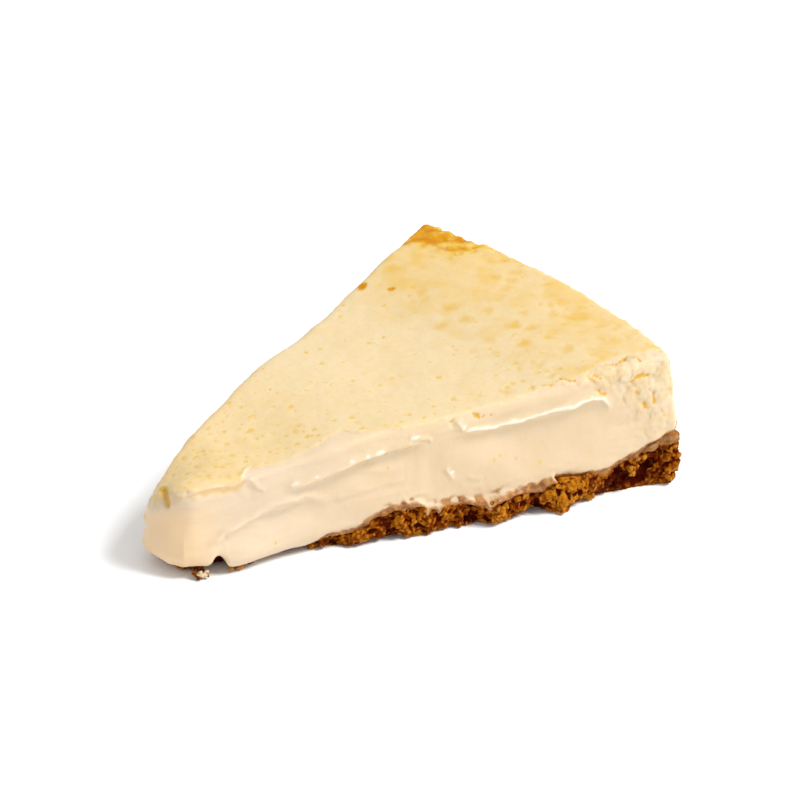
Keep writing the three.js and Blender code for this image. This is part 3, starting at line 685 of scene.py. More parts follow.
def knife_mark_relief(p):
    """The knife's strokes and drag marks on the cuts, and the rougher side at the rim."""
    s, z = p.s, p.z
    strokes = near_strokes(s + 0.35 * noise(s / 2, z / 2, 31), z + 0.3 * noise(s / 1.8, z / 1.8, 33))
    p.strokes = strokes * smoothstep(p.fold, 1.5, 0.0)
    bent = z + 1.6 * noise(s / 12, z / 8, 35) - 0.12 * s
    drag = 0.09 * noise(s / 9, bent / 1.3, 5) + 0.04 * noise(s / 5, bent / 0.6, 6)
    upright = inside(s, 60, 72, 3.0) * inside(z, 9, 19, 2.5)
    leaning = s + 1.3 * noise(s / 8, z / 5, 37) + 0.1 * z
    upright_drag = 0.06 * noise(leaning / 2.3, z / 11, 11) + 0.02 * noise(leaning / 0.9, z / 8, 12)
    calm = 1 - 0.8 * inside(s, 74, 103, 2.0) * inside(z, 8, 19.5, 1.0)
    lift = p.near * (p.strokes + calm * (drag * (1 - upright) + upright_drag * upright))
    low_smear = (1 - smoothstep(p.above_seam, 1.0, 4.0)) * p.near * smoothstep(s, 44, 50)
    lift += low_smear * (0.2 * fractal(s / 2.2, z / 1.0, 17) + 0.1)
    far_ridge = z - through([(20, 9), (50, 13), (80, 17), (115, 19)], p.s_far)
    lift += p.far * (0.14 * noise(p.s_far / 10, z / 1.3, 15) + 0.1 * noise(p.s_far / 5, z / 0.7, 16))
    lift += p.far * (0.5 * bump(far_ridge, 0.6) - 0.35 * bump(far_ridge + 1.4, 0.8))
    return lift + p.rim * (0.1 * fractal(p.y / 1.5, z / 1.5, 4) + 0.12 * noise(p.y / 5, z / 3, 14))


def find_torn(p):
    """Where the slice broke into curds instead of being cut."""
    s, z, depth = p.s, p.z, p.depth
    near = smoothstep(s - through(TORN_FROM, depth) + 1.6 * noise(s / 2.5, z / 2.5, 2), -1, 3)
    top = p.upward * smoothstep(-p.v_near, -0.3, 0.5) * smoothstep(s, 90, 96)
    torn = np.clip(np.maximum(p.near * near * (0.6 + 0.4 * smoothstep(depth, 12, 4)), top), 0, 1)
    torn = np.maximum(torn, 0.6 * p.rim * smoothstep(-p.y, 25, 34) * smoothstep(z, 13, 16))
    torn = np.maximum(torn, 0.5 * p.far * smoothstep(p.s_far, 104, 110))
    tip = 0.6 * (1 - smoothstep(p.x, 19, 21)) * inside(p.v, -2.5, 0.6, 0.6) * smoothstep(z, 11, 13)
    return np.maximum(torn, tip) * ~p.under


def torn_relief(p):
    """Curds and cracks."""
    x, y, z, s, fold = p.x, p.y, p.z, p.s, p.fold
    p.torn = find_torn(p)
    picked = np.flatnonzero(p.torn > 0.1)
    curd, p.curd_tone = np.zeros(len(x)), np.zeros(len(x))
    curd[picked], p.curd_tone[picked] = curd_lumps(p.points, picked)
    rough = 0.26 * fractal(x / 1.3, y / 1.3, z / 1.3) + 0.12 * noise(x / 0.6, y / 0.6, z / 0.6)
    p.crack = np.zeros(len(x))
    wander = 0.22 * noise(s / 0.7, fold / 0.7, 43)
    width = 0.4 + 0.25 * noise(s / 0.9, fold / 0.9, 45)
    uneven = 0.9 + 0.4 * noise(s / 0.6, fold, 46)
    for strength, path in CRACKS:
        distance = path_distance(path, s + wander, fold + wander)[0]
        line = bump(distance, width) * uneven
        p.crack = np.maximum(p.crack, strength * line * (p.near + p.upward > 0.3))
    return p.torn * (0.22 * curd - 0.11 + 0.75 * rough) - CRACK_DEPTH * p.crack


def spot_distance(p, x, y, size, strength):
    """Distance in the plan to a spot that is a little shorter across than along, with a ragged edge."""
    return np.hypot(p.x - x, (p.y - y) * 1.2) + strength * noise(p.x / size, p.y / size, 6)


def speckled_relief(p):
    """Small flecks sunk in the skin, most of them near the cuts and the tip, and browned spots by the rim."""
    x, y = p.x, p.y
    level_skin = p.skin * smoothstep(p.normals[:, 2], 0.8, 0.9)
    wanted = (0.12 + 0.9 * bump(x - 30, 20) + 0.4 * bump(p.fold - 5, 5) * smoothstep(x, 40, 50)) * level_skin
    wanted = wanted * (1 - smoothstep(x, 96, 104))
    p.fleck = blotches(p.points, wanted, FLECK_COUNT, 0.25, 0.7, 0.6, 0.2) * level_skin
    by_rim = smoothstep(x, 78, 98) * (0.35 + 0.65 * smoothstep(-y, -8, 12))
    p.mottled = blotches(p.points, by_rim * level_skin, MOTTLE_COUNT, 0.4, 1.5, 0.9, 0.5) * level_skin * 0.6
    for sx, sy, radius, strength in GOLDEN_SPOTS:
        near_spot = smoothstep(-spot_distance(p, sx, sy, 1.1, 0.6), -1.4 * radius, 0.0)
        p.mottled = np.maximum(p.mottled, 0.8 * strength * near_spot * p.upward)
    lift = -0.07 * p.fleck - 0.08 * p.mottled
    for sx, sy, radius, strength in SPOTS:
        lift -= p.upward * 0.2 * strength * bump(spot_distance(p, sx, sy, 1, 0), radius * 0.6)
    return lift


def rim_band_relief(p):
    """The browned band along the rim and the uneven edge beside it."""
    x, y, z = p.x, p.y, p.z
    ragged = 1.6 * fractal(x / 2.0, y / 2.0, 1) + 1.8 * noise(x / 4.5, y / 4.5, 12)
    band = through(BROWN_BAND, y) - p.to_rim + ragged
    p.band = through(BAND_STRENGTH, y) * smoothstep(band, -1.0, 4.5) * p.upward
    at_edge = bump(p.to_rim - 0.5, 1.6) * smoothstep(p.depth, 3, 1)
    at_edge = at_edge * (0.6 + 1.2 * smoothstep(np.abs(y + 3), 10, 26))
    lift = p.band * (0.22 * fractal(x / 1.3, y / 1.3, 31) - 0.1)
    return lift + at_edge * (0.45 * fractal(x / 1.5, y / 1.5, z / 1.5 + 5) + 0.1)


def tip_relief(p):
    """The tip's softly rounded corner and the split in its skin."""
    split, _, share = path_distance(TIP_SPLIT, p.x + 0.15 * noise(p.y, p.z, 5), p.y)
    p.split = bump(split, TIP_SPLIT_WIDTH) * smoothstep(p.z, 13.6, 14.6) * smoothstep(share, 0, 0.1)
    corner = bump(np.hypot(p.x - TIP_CORNER[0], p.y - TIP_CORNER[1]), TIP_CORNER_SOFT) * p.side
    return -0.5 * corner - TIP_SPLIT_DEPTH * p.split * (1 - smoothstep(share, 0.9, 1.0))


def finish_filling(obj, voxel):
    p = filling_places(obj)
    find_skin(p)
    lift = skin_lip_relief(p) + knife_mark_relief(p) + torn_relief(p) + speckled_relief(p)
    lift += rim_band_relief(p) + tip_relief(p)
    moved = p.points + p.normals * (lift * ~p.under)[:, None]
    set_points(obj, moved)
    # Painted light from the surface's curvature: a painted highlight on the cream's ridges, and painted
    # shade, darker and yellower, in its hollows.
    curve = neighbour_mean(moved, p.edges) - moved
    hollow = neighbour_mean(np.einsum("ij,ij->i", curve, get_normals(obj)) / voxel, p.edges)
    # Painted shade: the tip's side turned away from the key light is tinted warmer and lighter, as its cream
    # looks in shade.
    add_masks(obj, hollow=smoothstep(hollow, 0.02, 0.22), ridge=smoothstep(-hollow, 0.02, 0.2), torn=p.torn,
              curd_tone=p.curd_tone, shade=p.undercut * (0.2 + 0.8 * p.at_tip),
              tip_side=(1 - smoothstep(p.x, 15.8, 27)) * smoothstep(p.depth, 2, 6))
    add_skin_masks(obj, p, hollow)
    add_shine_masks(obj, p)
    add_foot_masks(obj, p)


def add_skin_masks(obj, p, hollow):
    """Where the skin is browned, speckled and cracked, and where warm shade is painted into the curds'
    crevices.
    """
    x, y, z, s = p.x, p.y, p.z, p.s
    for gs, gz in CUT_SPECKS:
        p.fleck = np.maximum(p.fleck, 0.7 * p.near * smoothstep(-np.hypot(s - gs, z - gz), -0.55, -0.2))
    # The yellow-orange tint in the crevices of the torn curds is painted warm shade; the cracks and the tip's
    # split are the skin's own orange.
    crevice = smoothstep(hollow, 0.03, 0.14) * smoothstep(fractal(x / 2.4, y / 2.4, z / 2.4), -0.2, 0.25)
    cracked = np.maximum(np.maximum(p.split, smoothstep(p.crack, 0.15, 0.6)), 0.3 * p.torn * crevice)
    brown = p.band * (0.68 + 0.9 * fractal(x / 1.9, y / 1.9, 5) + 0.15 * noise(x / 5, y / 5, 15))
    for sx, sy, radius, strength in SPOTS:
        off_spot = smoothstep(spot_distance(p, sx, sy, 0.9, 0.5), radius * 0.3, radius * 1.2)
        brown = np.maximum(brown, strength * 0.9 * (1 - off_spot) * p.upward)
    mottle = smoothstep(fractal(x / 4.2, y / 4.2, 50), -0.05, 0.4) * smoothstep(x, 80, 92)
    golden = 0.34 * smoothstep(x, 80, 106) + 0.22 * smoothstep(y, -5, 30) * smoothstep(x, 70, 95)
    golden += 0.3 * mottle + 0.2 * (1 - smoothstep(x, 22, 55)) + 0.22 * fractal(x / 7, y / 7, 2)
    golden += 0.2 * fractal(x / 2, y / 2, 9) + 0.6 * p.mottled
    add_masks(obj, skin=p.skin * np.maximum(p.upward, smoothstep(p.v, -0.2, 0.6)), fleck=p.fleck,
              orange=cracked, brown=brown, golden=golden, mottled=p.mottled, slope=1 - smoothstep(x, 30, 62),
              baked=p.rim * smoothstep(p.depth, 0, 1.5))


def add_shine_masks(obj, p):
    """Where the cream on the near cut is wet, and where highlights are painted on it."""
    s, z = p.s, p.z
    wet = p.near * bump(z - through([(36, 15.6), (44, 16.9), (51, 18.8), (57, 19.5), (67, 20.4)], s), 1.6)
    on_strokes = p.near * smoothstep(p.strokes, 0.1, 0.4) * lerp(0.4, 1, s > 66)
    # Painted highlight along the torn skin's lip and the knife strokes' lips, and at the spots where the wet
    # cream shines
    bright = np.maximum(p.lip * (0.3 + 0.7 * p.at_tip), on_strokes)
    uneven = 0.3 * noise(s / 0.7, z / 0.7, 4)
    for gs, gz, length in GLINTS:
        away = np.hypot((s - gs) / length, (z - gz - 0.15 * (s - gs)) / 0.38) + uneven
        bright = np.maximum(bright, p.near * smoothstep(-away, -1.3, -0.4))
    add_masks(obj, wet=wet * inside(s, 38, 68, 1.5), bright=bright)


def add_foot_masks(obj, p):
    """Where the foot of the cuts is a thin film over the base, and where crumbs have stained it."""
    s, z, above_seam, bare = p.s, p.z, p.above_seam, 1 - p.draped
    thin = above_seam + 0.5 * noise(s / 1.3, z / 0.8, 64)
    film = (1 - smoothstep(thin, -0.4, 0.8)) * smoothstep(s, 44, 47) * p.film_side
    hanging = inside(s, 38, 45, 1.0) * (1 - smoothstep(z, 1.4, 2.4)) * p.near
    tongues = sum(smoothstep(reach, 1, 2) * bump(s - at, width) for at, width, reach in DRAGS)
    stain = 1 - smoothstep(above_seam + 0.5 * fractal(s / 1.2, z / 1.2, 3), 0.1, 1.1)
    stain = stain * np.maximum(p.foot, p.far) * bare * (1 - 0.4 * inside(s, 60, 76, 3))
    streaks = smoothstep(fractal(s / 1.7, z / 0.8, 61), -0.2, 0.25) * inside(s, 56, 86, 3) * p.foot
    smudge = smoothstep(through(STAIN_EDGE, s) - z + 0.7 * fractal(s / 1.4, z / 1.1, 63), -0.3, 0.8)
    smudge = smudge * (1.0 + 0.7 * fractal(s / 1.1, z / 0.8, 65)) * p.foot * bare
    stain = np.maximum(np.maximum(stain, 0.9 * streaks * (1 - smoothstep(above_seam, 0.6, 2.8))), smudge)
    add_masks(obj, film=np.maximum(film * bare, 0.8 * hanging),
              stain=stain * (1 - 0.75 * np.minimum(tongues, 1)))


# The biscuit base
BASE_STEP = 0.7
BASE_LEVELS = 14
CORE_INSET = 0.35
CRUMB_COUNT = 2300
CRAG_LIFT = 1.1
CRAG_SPACING = 3.4
# Lumps and hollows of the base on the near cut: (distance along the cut, height, reach, tone), where a tone
# above zero is a golden lump and one below zero a hollow whose darkness is painted shade
BASE_PATCHES = [
    (46.6, 2.0, 1.8, -0.5), (51.6, 3.2, 1.6, 0.5), (57.6, 3.2, 1.4, -0.8), (57.4, 6.2, 0.9, 0.8),
    (59.8, 0.8, 2.2, -0.8), (59.8, 4.3, 1.4, 0.2), (63.1, 2.8, 2.0, 0.3), (66.7, 1.2, 2.0, 0.2),
    (70.8, 4.4, 1.5, 0.2), (71.8, 2.0, 1.6, -0.2), (75.0, 1.4, 1.5, -0.9), (78.3, 3.9, 1.2, 0.4),
    (80.3, 0.9, 2.0, 0.9), (82.0, 3.8, 1.6, 0.2), (85.0, 4.0, 1.4, -0.2), (88.6, 1.6, 1.4, -2.1),
    (90.2, 3.4, 1.6, 1.0), (93.2, 4.4, 1.8, 1.0), (92.3, 0.9, 1.6, 0.9), (96.7, 4.7, 1.3, 0.7),
    (97.5, 2.2, 1.8, 0.2), (101.5, 2.0, 1.4, -0.5), (101.5, 4.6, 1.4, 0.2), (105.7, 3.2, 2.2, -1.3),
    (108.1, 4.4, 0.9, 0.9), (109.8, 2.7, 1.6, -1.4), (111.7, 4.5, 1.4, -0.7), (114.1, 1.2, 1.4, 0.5),
    (116.3, 2.4, 1.2, 0.9), (24.3, 1.4, 1.8, -1.8),
]
DARKER_CORNER = 0.3
# The lower edge of the moist band under the filling, by the rim: (distance along the near cut, height)
MOIST_EDGE = [(98, 5.6), (101.7, 5.2), (105.8, 6.6), (109.9, 7.7), (114, 8.3), (117.4, 8.8)]
MOIST_FROM = 99.0
# Crumbs under the tip: (distance along the near cut, distance out of it, height, radius, is cream)
TIP_CRUMBS = [
    (21.4, -3.0, 0.9, 1.0, 0), (21.5, -1.8, 0.9, 0.95, 0), (21.5, -0.6, 0.9, 0.9, 0),
    (21.2, 0.4, 0.9, 0.9, 0), (20.5, 1.0, 1.1, 0.8, 1), (21.3, 1.1, 0.9, 0.5, 1), (22.1, 1.0, 0.7, 0.65, 0),
    (19.7, 0.4, 1.2, 0.7, 0), (20.1, 1.3, 0.5, 0.4, 0), (22.4, 0.5, 1.3, 0.45, 1),
    (26.9, 0.3, 0.95, 0.45, 0), (27.8, 0.4, 1.0, 0.45, 0), (28.7, 0.4, 1.05, 0.45, 0),
    (29.6, 0.45, 1.05, 0.45, 0), (30.4, 0.4, 1.05, 0.4, 0), (31.2, 0.3, 1.1, 0.4, 0),
    (29.3, -0.6, 1.1, 0.8, 0), (29.4, -1.6, 1.0, 0.9, 0),
]


def patch_tone(s, z, near):
    """Golden lumps above zero and hollows below it, painted dark as shade, along the near cut; chance ones
    elsewhere.
    """
    placed = sum(tone * bump(np.hypot(s - at, z - height), reach) for at, height, reach, tone in BASE_PATCHES)
    placed = placed - DARKER_CORNER * smoothstep(s, 98, 103)
    chance = 0.8 * fractal(s / 3.4, z / 2.6, 71 + 40 * (1 - near), 2)
    return lerp(chance, placed + 0.35 * chance, near)


def side_relief(s, z, near):
    """How far the base's lumps stand out and its hollows go in."""
    tone = patch_tone(s, z, near)
    return np.where(tone > 0, 0.9 * np.minimum(tone, 1), 1.5 * np.maximum(tone, -1.4))


def moist_share(s, z, near):
    """1 in the moist band under the filling by the near rim corner."""
    above = z - through(MOIST_EDGE, s) + 0.4 * noise(s / 1.3, 2, 4)
    return near * smoothstep(s, MOIST_FROM, MOIST_FROM + 3) * smoothstep(above, -0.4, 0.4)


def base_side(o, z):
    """How far the base's side stands out of the plan where its crumbs lie."""
    s = o.point @ NEAR_DIRECTION
    along = np.where(o.near > 0.5, s, o.point[:, 1] + 200)
    open_share = np.maximum(np.maximum(o.near, o.far), 0.5 * o.rim) * (1 - drape_share(o))
    calm = 1 - moist_share(s, z, o.near)
    corner = 0.9 * smoothstep(s, 107, 113) * o.near * calm
    return base_offset(o, z, 0.9) + side_relief(along, z, o.near) * open_share * calm - corner


def base_floor(o):
    """How far the base's lower edge stands off the table."""
    x, y = o.point.T
    lift = CRAG_LIFT * np.clip(0.6 * noise(x / CRAG_SPACING, y / CRAG_SPACING, 40) + 0.35, 0, 1)
    corner = CORNER_LIFT * smoothstep(o.point @ NEAR_DIRECTION, CORNER_LIFT_FROM, CORNER_LIFT_FROM + 6)
    return lift * np.maximum(o.near, o.far) + corner * o.near


def base_form():
    """The base's core, set back from its sides, with the crumbs that make up the sides, and their places."""
    o = plan_outline(BASE_STEP)
    point, normal = o.point, o.normal
    covered = drape_share(o)
    s = point @ NEAR_DIRECTION
    inset = point - normal * (DRAPE_INSET * covered)[:, None]
    edge_seam = seam_height(*inset.T)
    rings = [with_z(towards_hub(inset, share), np.zeros(len(point))) for share in (0.5, 0.93)]
    floor = base_floor(o) + 0.2
    for level in range(BASE_LEVELS + 1):
        z = lerp(floor, edge_seam - 0.1, level / BASE_LEVELS)
        calm = moist_share(s, z, o.near)
        crag = 0.75 * fractal(point[:, 0] / 2.1, point[:, 1] / 2.1, z / 2.1)
        out = base_side(o, z) + lerp(crag - CORE_INSET * (1 - covered), -0.15, calm)
        rings.append(with_z(point + normal * out[:, None], z))
    for share in SEAM_SHARES[::-1]:
        place = towards_hub(inset, share)
        rings.append(with_z(place, seam_height(*place.T) - 0.1))
    core = rings_form(rings, [*HUB, 0.0], [*HUB, float(seam_height(*HUB)) - 0.1])
    crumbs, centres = crumb_heap(o, covered, floor)
    return joined("base_look", [core, *crumbs]), centres


def ball(level):
    """Points and faces of an icosahedron, split so many times."""
    golden = (1 + math.sqrt(5)) / 2
    points = [(a, b, 0) for b in (golden, -golden) for a in (-1, 1)]
    points += [(0, a, b) for b in (golden, -golden) for a in (-1, 1)]
    points += [(a, 0, b) for a in (golden, -golden) for b in (-1, 1)]
    faces = [(0, 11, 5), (0, 5, 1), (0, 1, 7), (0, 7, 10), (0, 10, 11), (1, 5, 9), (5, 11, 4), (11, 10, 2),
             (10, 7, 6), (7, 1, 8), (3, 9, 4), (3, 4, 2), (3, 2, 6), (3, 6, 8), (3, 8, 9), (4, 9, 5),
             (2, 4, 11), (6, 2, 10), (8, 6, 7), (9, 8, 1)]
    for _ in range(level):
        middle, split = {}, []
        for a, b, c in faces:
            ids = []
            for i, j in ((a, b), (b, c), (c, a)):
                key = (min(i, j), max(i, j))
                if key not in middle:
                    middle[key] = len(points)
                    points.append(tuple((np.array(points[i]) + np.array(points[j])) / 2))
                ids.append(middle[key])
            split += [(a, ids[0], ids[2]), (b, ids[1], ids[0]), (c, ids[2], ids[1]), tuple(ids)]
        faces = split
        points = [tuple(np.array(p) / np.linalg.norm(p)) for p in points]
    points = np.array(points)
    return points / np.linalg.norm(points, axis=1)[:, None], np.array(faces)


def random_turn():
    q = rng.normal(size=4)
    w, x, y, z = q / np.linalg.norm(q)
    return np.array([[1 - 2 * (y * y + z * z), 2 * (x * y - z * w), 2 * (x * z + y * w)],
                     [2 * (x * y + z * w), 1 - 2 * (x * x + z * z), 2 * (y * z - x * w)],
                     [2 * (x * z - y * w), 2 * (y * z + x * w), 1 - 2 * (x * x + y * y)]])


def crumb(place, radius, balls):
    points, faces = balls[1] if radius > 0.75 else balls[0]
    lumps = 1 + 0.35 * noise(*(points * 1.3 + rng.uniform(0, 99)).T) + 0.14 * noise(*(points * 3.1 + 7).T)
    shape = (points * lumps[:, None]) @ np.diag(rng.uniform(0.75, 1.2, 3)) @ random_turn()
    shape = shape * radius + place
    shape[:, 2] = np.maximum(shape[:, 2], 0.02)
    return shape, faces


def crumb_heap(o, covered, floor):
    """Crumbs of many sizes along the base's open sides, and each one's centre, radius, tone and cream."""
    balls = ball(1), ball(2)
    open_side = np.flatnonzero(covered < 0.6)
    s = o.point @ NEAR_DIRECTION
    crumbs, centres = [], []
    for _ in range(CRUMB_COUNT):
        i = rng.choice(open_side)
        radius = 0.34 + 1.0 * rng.uniform() ** 1.9
        near = o.near[i]
        seam = float(seam_height(*o.point[i]))
        low, high = floor[i] - 0.2 + 0.8 * radius, seam + 0.15 - 0.6 * radius
        z = lerp(low, max(low, high), rng.uniform())
        tone = float(patch_tone(s[i], z, near))
        sunk = radius * rng.uniform(0.15, 1.1) - 0.15
        smeared = near > 0.5 and z > seam - float(drag_depth(s[i]))
        out = float(base_side(part_of(o, [i]), z)[0]) - sunk - 0.5 * smeared - 0.5 * o.rim[i]
        place = np.array([*(o.point[i] + o.normal[i] * out), z])
        chance = rng.uniform(), rng.uniform()
        if moist_share(s[i], z - 0.3, near) > 0.3 and chance[0] < 0.85:
            continue
        if tone < -0.5 and chance[0] < 0.6:
            continue
        crumbs.append(crumb(place, radius, balls))
        centres.append((*place, radius, 0.5 + 0.5 * np.clip(tone, -1, 1) + 0.5 * (chance[1] - 0.5), 0))
    for along, out, z, radius, cream in TIP_CRUMBS:
        place = np.array([*(NEAR_DIRECTION * along + NEAR_NORMAL * (out + SWELL)), z])
        crumbs.append(crumb(place, radius, balls))
        centres.append((*place, radius, rng.uniform(0.3, 0.9), cream))
    return crumbs, np.array(centres)


# The crumbs that the base's sides are broken into: (distance apart, how far they stand out, spread of tones)
CRUMB_CELLS = [(2.6, 0.4, 0.5), (1.15, 0.26, 0.6)]


def crumb_cells(points, picked, apart, voxel):
    """How far each picked point is from the border of its crumb, and two chance numbers of that crumb."""
    count = max(8, int(1.2 * len(picked) * (voxel / apart) ** 2))
    tree = seed_tree(points[rng.choice(picked, size=count, replace=False)])
    x, y, z = points[picked].T / (0.55 * apart)
    bent = points[picked] + 0.3 * apart * np.stack([noise(x, y, z + shift) for shift in (0, 9, 18)], -1)
    found = np.array([(a[2], b[2], a[1]) for a, b in (tree.find_n(p, 2) for p in bent)])
    number = found[:, 2].astype(int)
    chances = rng.uniform(0, 1, (count, 2))[number]
    return (found[:, 1] - found[:, 0]) / apart, chances[:, 0], chances[:, 1]


def finish_base(obj, centres, voxel):
    points = get_points(obj)
    normals = get_normals(obj)
    edges = get_edges(obj)
    x, y, z = points.T
    plan = points[:, :2]
    s = plan @ NEAR_DIRECTION
    facing = smoothstep(normals[:, :2] @ NEAR_NORMAL - normals[:, :2] @ FAR_NORMAL, -0.3, 0.3)
    side = 1 - smoothstep(np.abs(normals[:, 2]), 0.93, 0.99)
    grain = 0.12 * fractal(x / 1.3, y / 1.3, z / 1.3) + 0.06 * noise(x / 0.45, y / 0.45, z / 0.45)
    on_near = smoothstep(plan @ NEAR_NORMAL, -5, -3)
    moist = moist_share(s, z, on_near)
    outward = np.maximum(plan @ NEAR_NORMAL, plan @ FAR_NORMAL)
    outward = np.maximum(outward, np.hypot(x - CAKE_CENTRE_X, y) - CAKE_RADIUS - RIM_FLARE * (RIM_HEIGHT - z))
    shown = smoothstep(outward, -5, -3)
    softened = neighbour_mean(points, edges, 5)
    picked = np.flatnonzero(shown > 0.2)
    gap, cell_tone = np.zeros(len(points)), np.zeros(len(points))
    for apart, stand, vary in CRUMB_CELLS:
        border, high, shade = crumb_cells(softened, picked, apart, voxel)
        grain[picked] += stand * (high + smoothstep(border, 0, 0.4) - 1.1)
        gap[picked] = np.maximum(gap[picked], (1 - smoothstep(border, 0.03, 0.24)) * (0.5 + 0.5 * (1 - high)))
        cell_tone[picked] += vary * (shade - 0.5)
    grain = neighbour_mean(grain, edges, 1)
    moved = softened + normals * (grain * side * shown * (1 - 0.75 * moist))[:, None]
    moved[:, 2] = np.maximum(moved[:, 2], 0.0)
    set_points(obj, moved)

    distance, number = nearest(centres[:, :3], moved)
    near_crumb = 1 - smoothstep(distance - centres[number, 3], 0.1, 0.9)
    wide_tone = 0.5 + 0.5 * np.clip(patch_tone(np.where(facing > 0.5, s, y + 200), z, facing), -1, 1)
    tone = lerp(wide_tone, centres[number, 4], 0.6 * near_crumb)
    moved_normals = get_normals(obj)

    def sunk(rounds):
        return np.einsum("ij,ij->i", neighbour_mean(moved, edges, rounds) - moved, moved_normals)

    # Painted light from the base's shape: painted shade darkens its hollows, the gaps between its crumbs and
    # the listed dark hollows, and a painted golden highlight lies on its ridges.
    fine, medium, wide = sunk(2) / voxel, sunk(8), sunk(40)
    sunken = np.maximum(smoothstep(0.3 * fine + 2.6 * medium + 1.8 * wide, 0.05, 0.8), 0.75 * gap)
    dark = np.maximum(smoothstep(wide + 0.6 * medium, 0.06, 0.32), smoothstep(-wide_tone, -0.3, 0.0))
    add_masks(obj, tone=tone + cell_tone, hollow=sunken * (1 - 0.6 * moist), deep=dark, moist=moist,
              ridge=smoothstep(-0.6 * fine - 2.2 * medium, 0.1, 0.6),
              cream=centres[number, 5] * smoothstep(near_crumb, 0.4, 0.8))


# Materials
# How much light falls on the slice from above; colours are named as they look in that light
EXPOSURE = 1.6


def colour(r, g, b):
    """A surface's linear colour, from the sRGB one with values to 255 that it shows in the studio's light."""
    def linear(c):
        c /= 255
        return c / 12.92 if c <= 0.04045 else ((c + 0.055) / 1.055) ** 2.4
    return (linear(r) / EXPOSURE, linear(g) / EXPOSURE, linear(b) / EXPOSURE, 1.0)


class Nodes:
    """Short hand for building a material's nodes."""

    def __init__(self, name):
        self.material = bpy.data.materials.new(name)
        self.material.use_nodes = True
        self.nodes = self.material.node_tree.nodes
        self.shader = self.nodes["Principled BSDF"]
        self.place = self.add("ShaderNodeTexCoord").outputs["Object"]

    def put(self, socket, value):
        """Sets a socket, or links it where the value comes out of another node."""
        if isinstance(value, bpy.types.NodeSocket):
            self.material.node_tree.links.new(value, socket)
        else:
            socket.default_value = value

    def add(self, kind, sockets=None, **values):
        node = self.nodes.new(kind)
        for key, value in values.items():
            setattr(node, key, value)
        for key, value in (sockets or {}).items():
            self.put(node.inputs[key], value)
        return node

    def mask(self, name):
        return self.add("ShaderNodeAttribute", attribute_name=name).outputs["Fac"]

    def noise(self, size_mm, detail=3.0, roughness=0.55):
        grain = {"Scale": 1 / (size_mm * MM), "Detail": detail, "Roughness": roughness}
        return self.add("ShaderNodeTexNoise", {"Vector": self.place, **grain}).outputs["Fac"]

    def ramp(self, value, *limits):
        """Carries a value smoothly from between the first two limits to between the last two."""
        sockets = {"Value": value, **dict(zip(("From Min", "From Max", "To Min", "To Max"), limits))}
        return self.add("ShaderNodeMapRange", sockets, interpolation_type="SMOOTHSTEP").outputs["Result"]

    def maths(self, operation, a, b):
        return self.add("ShaderNodeMath", {0: a, 1: b}, operation=operation).outputs["Value"]

    def mix(self, share, a, b):
        """Two colours mixed; the mix node's colours are its sockets 6 and 7, and come out at 2."""
        return self.add("ShaderNodeMix", {0: share, 6: a, 7: b}, data_type="RGBA").outputs[2]

    def over(self, under, name, share, tint, low=None, high=1.0):
        """One colour laid over another where a mask says, by up to a share, from low to high in the mask."""
        value = self.mask(name)
        if low is None:
            return self.mix(self.maths("MULTIPLY", value, share), under, tint)
        return self.mix(self.ramp(value, low, high, 0, share), under, tint)

    def mottled(self, a, b, *grain, low=0.35, high=0.65, share=1.0):
        """One colour mottled with another."""
        return self.mix(self.ramp(self.noise(*grain), low, high, 0, share), a, b)

    def set(self, **values):
        """Sets or links the shader's own sockets."""
        for key, value in values.items():
            self.put(self.shader.inputs[key.replace("_", " ")], value)

    def bump(self, height, strength, distance_mm):
        sockets = {"Height": height, "Strength": strength, "Distance": distance_mm * MM}
        self.set(Normal=self.add("ShaderNodeBump", sockets).outputs["Normal"])


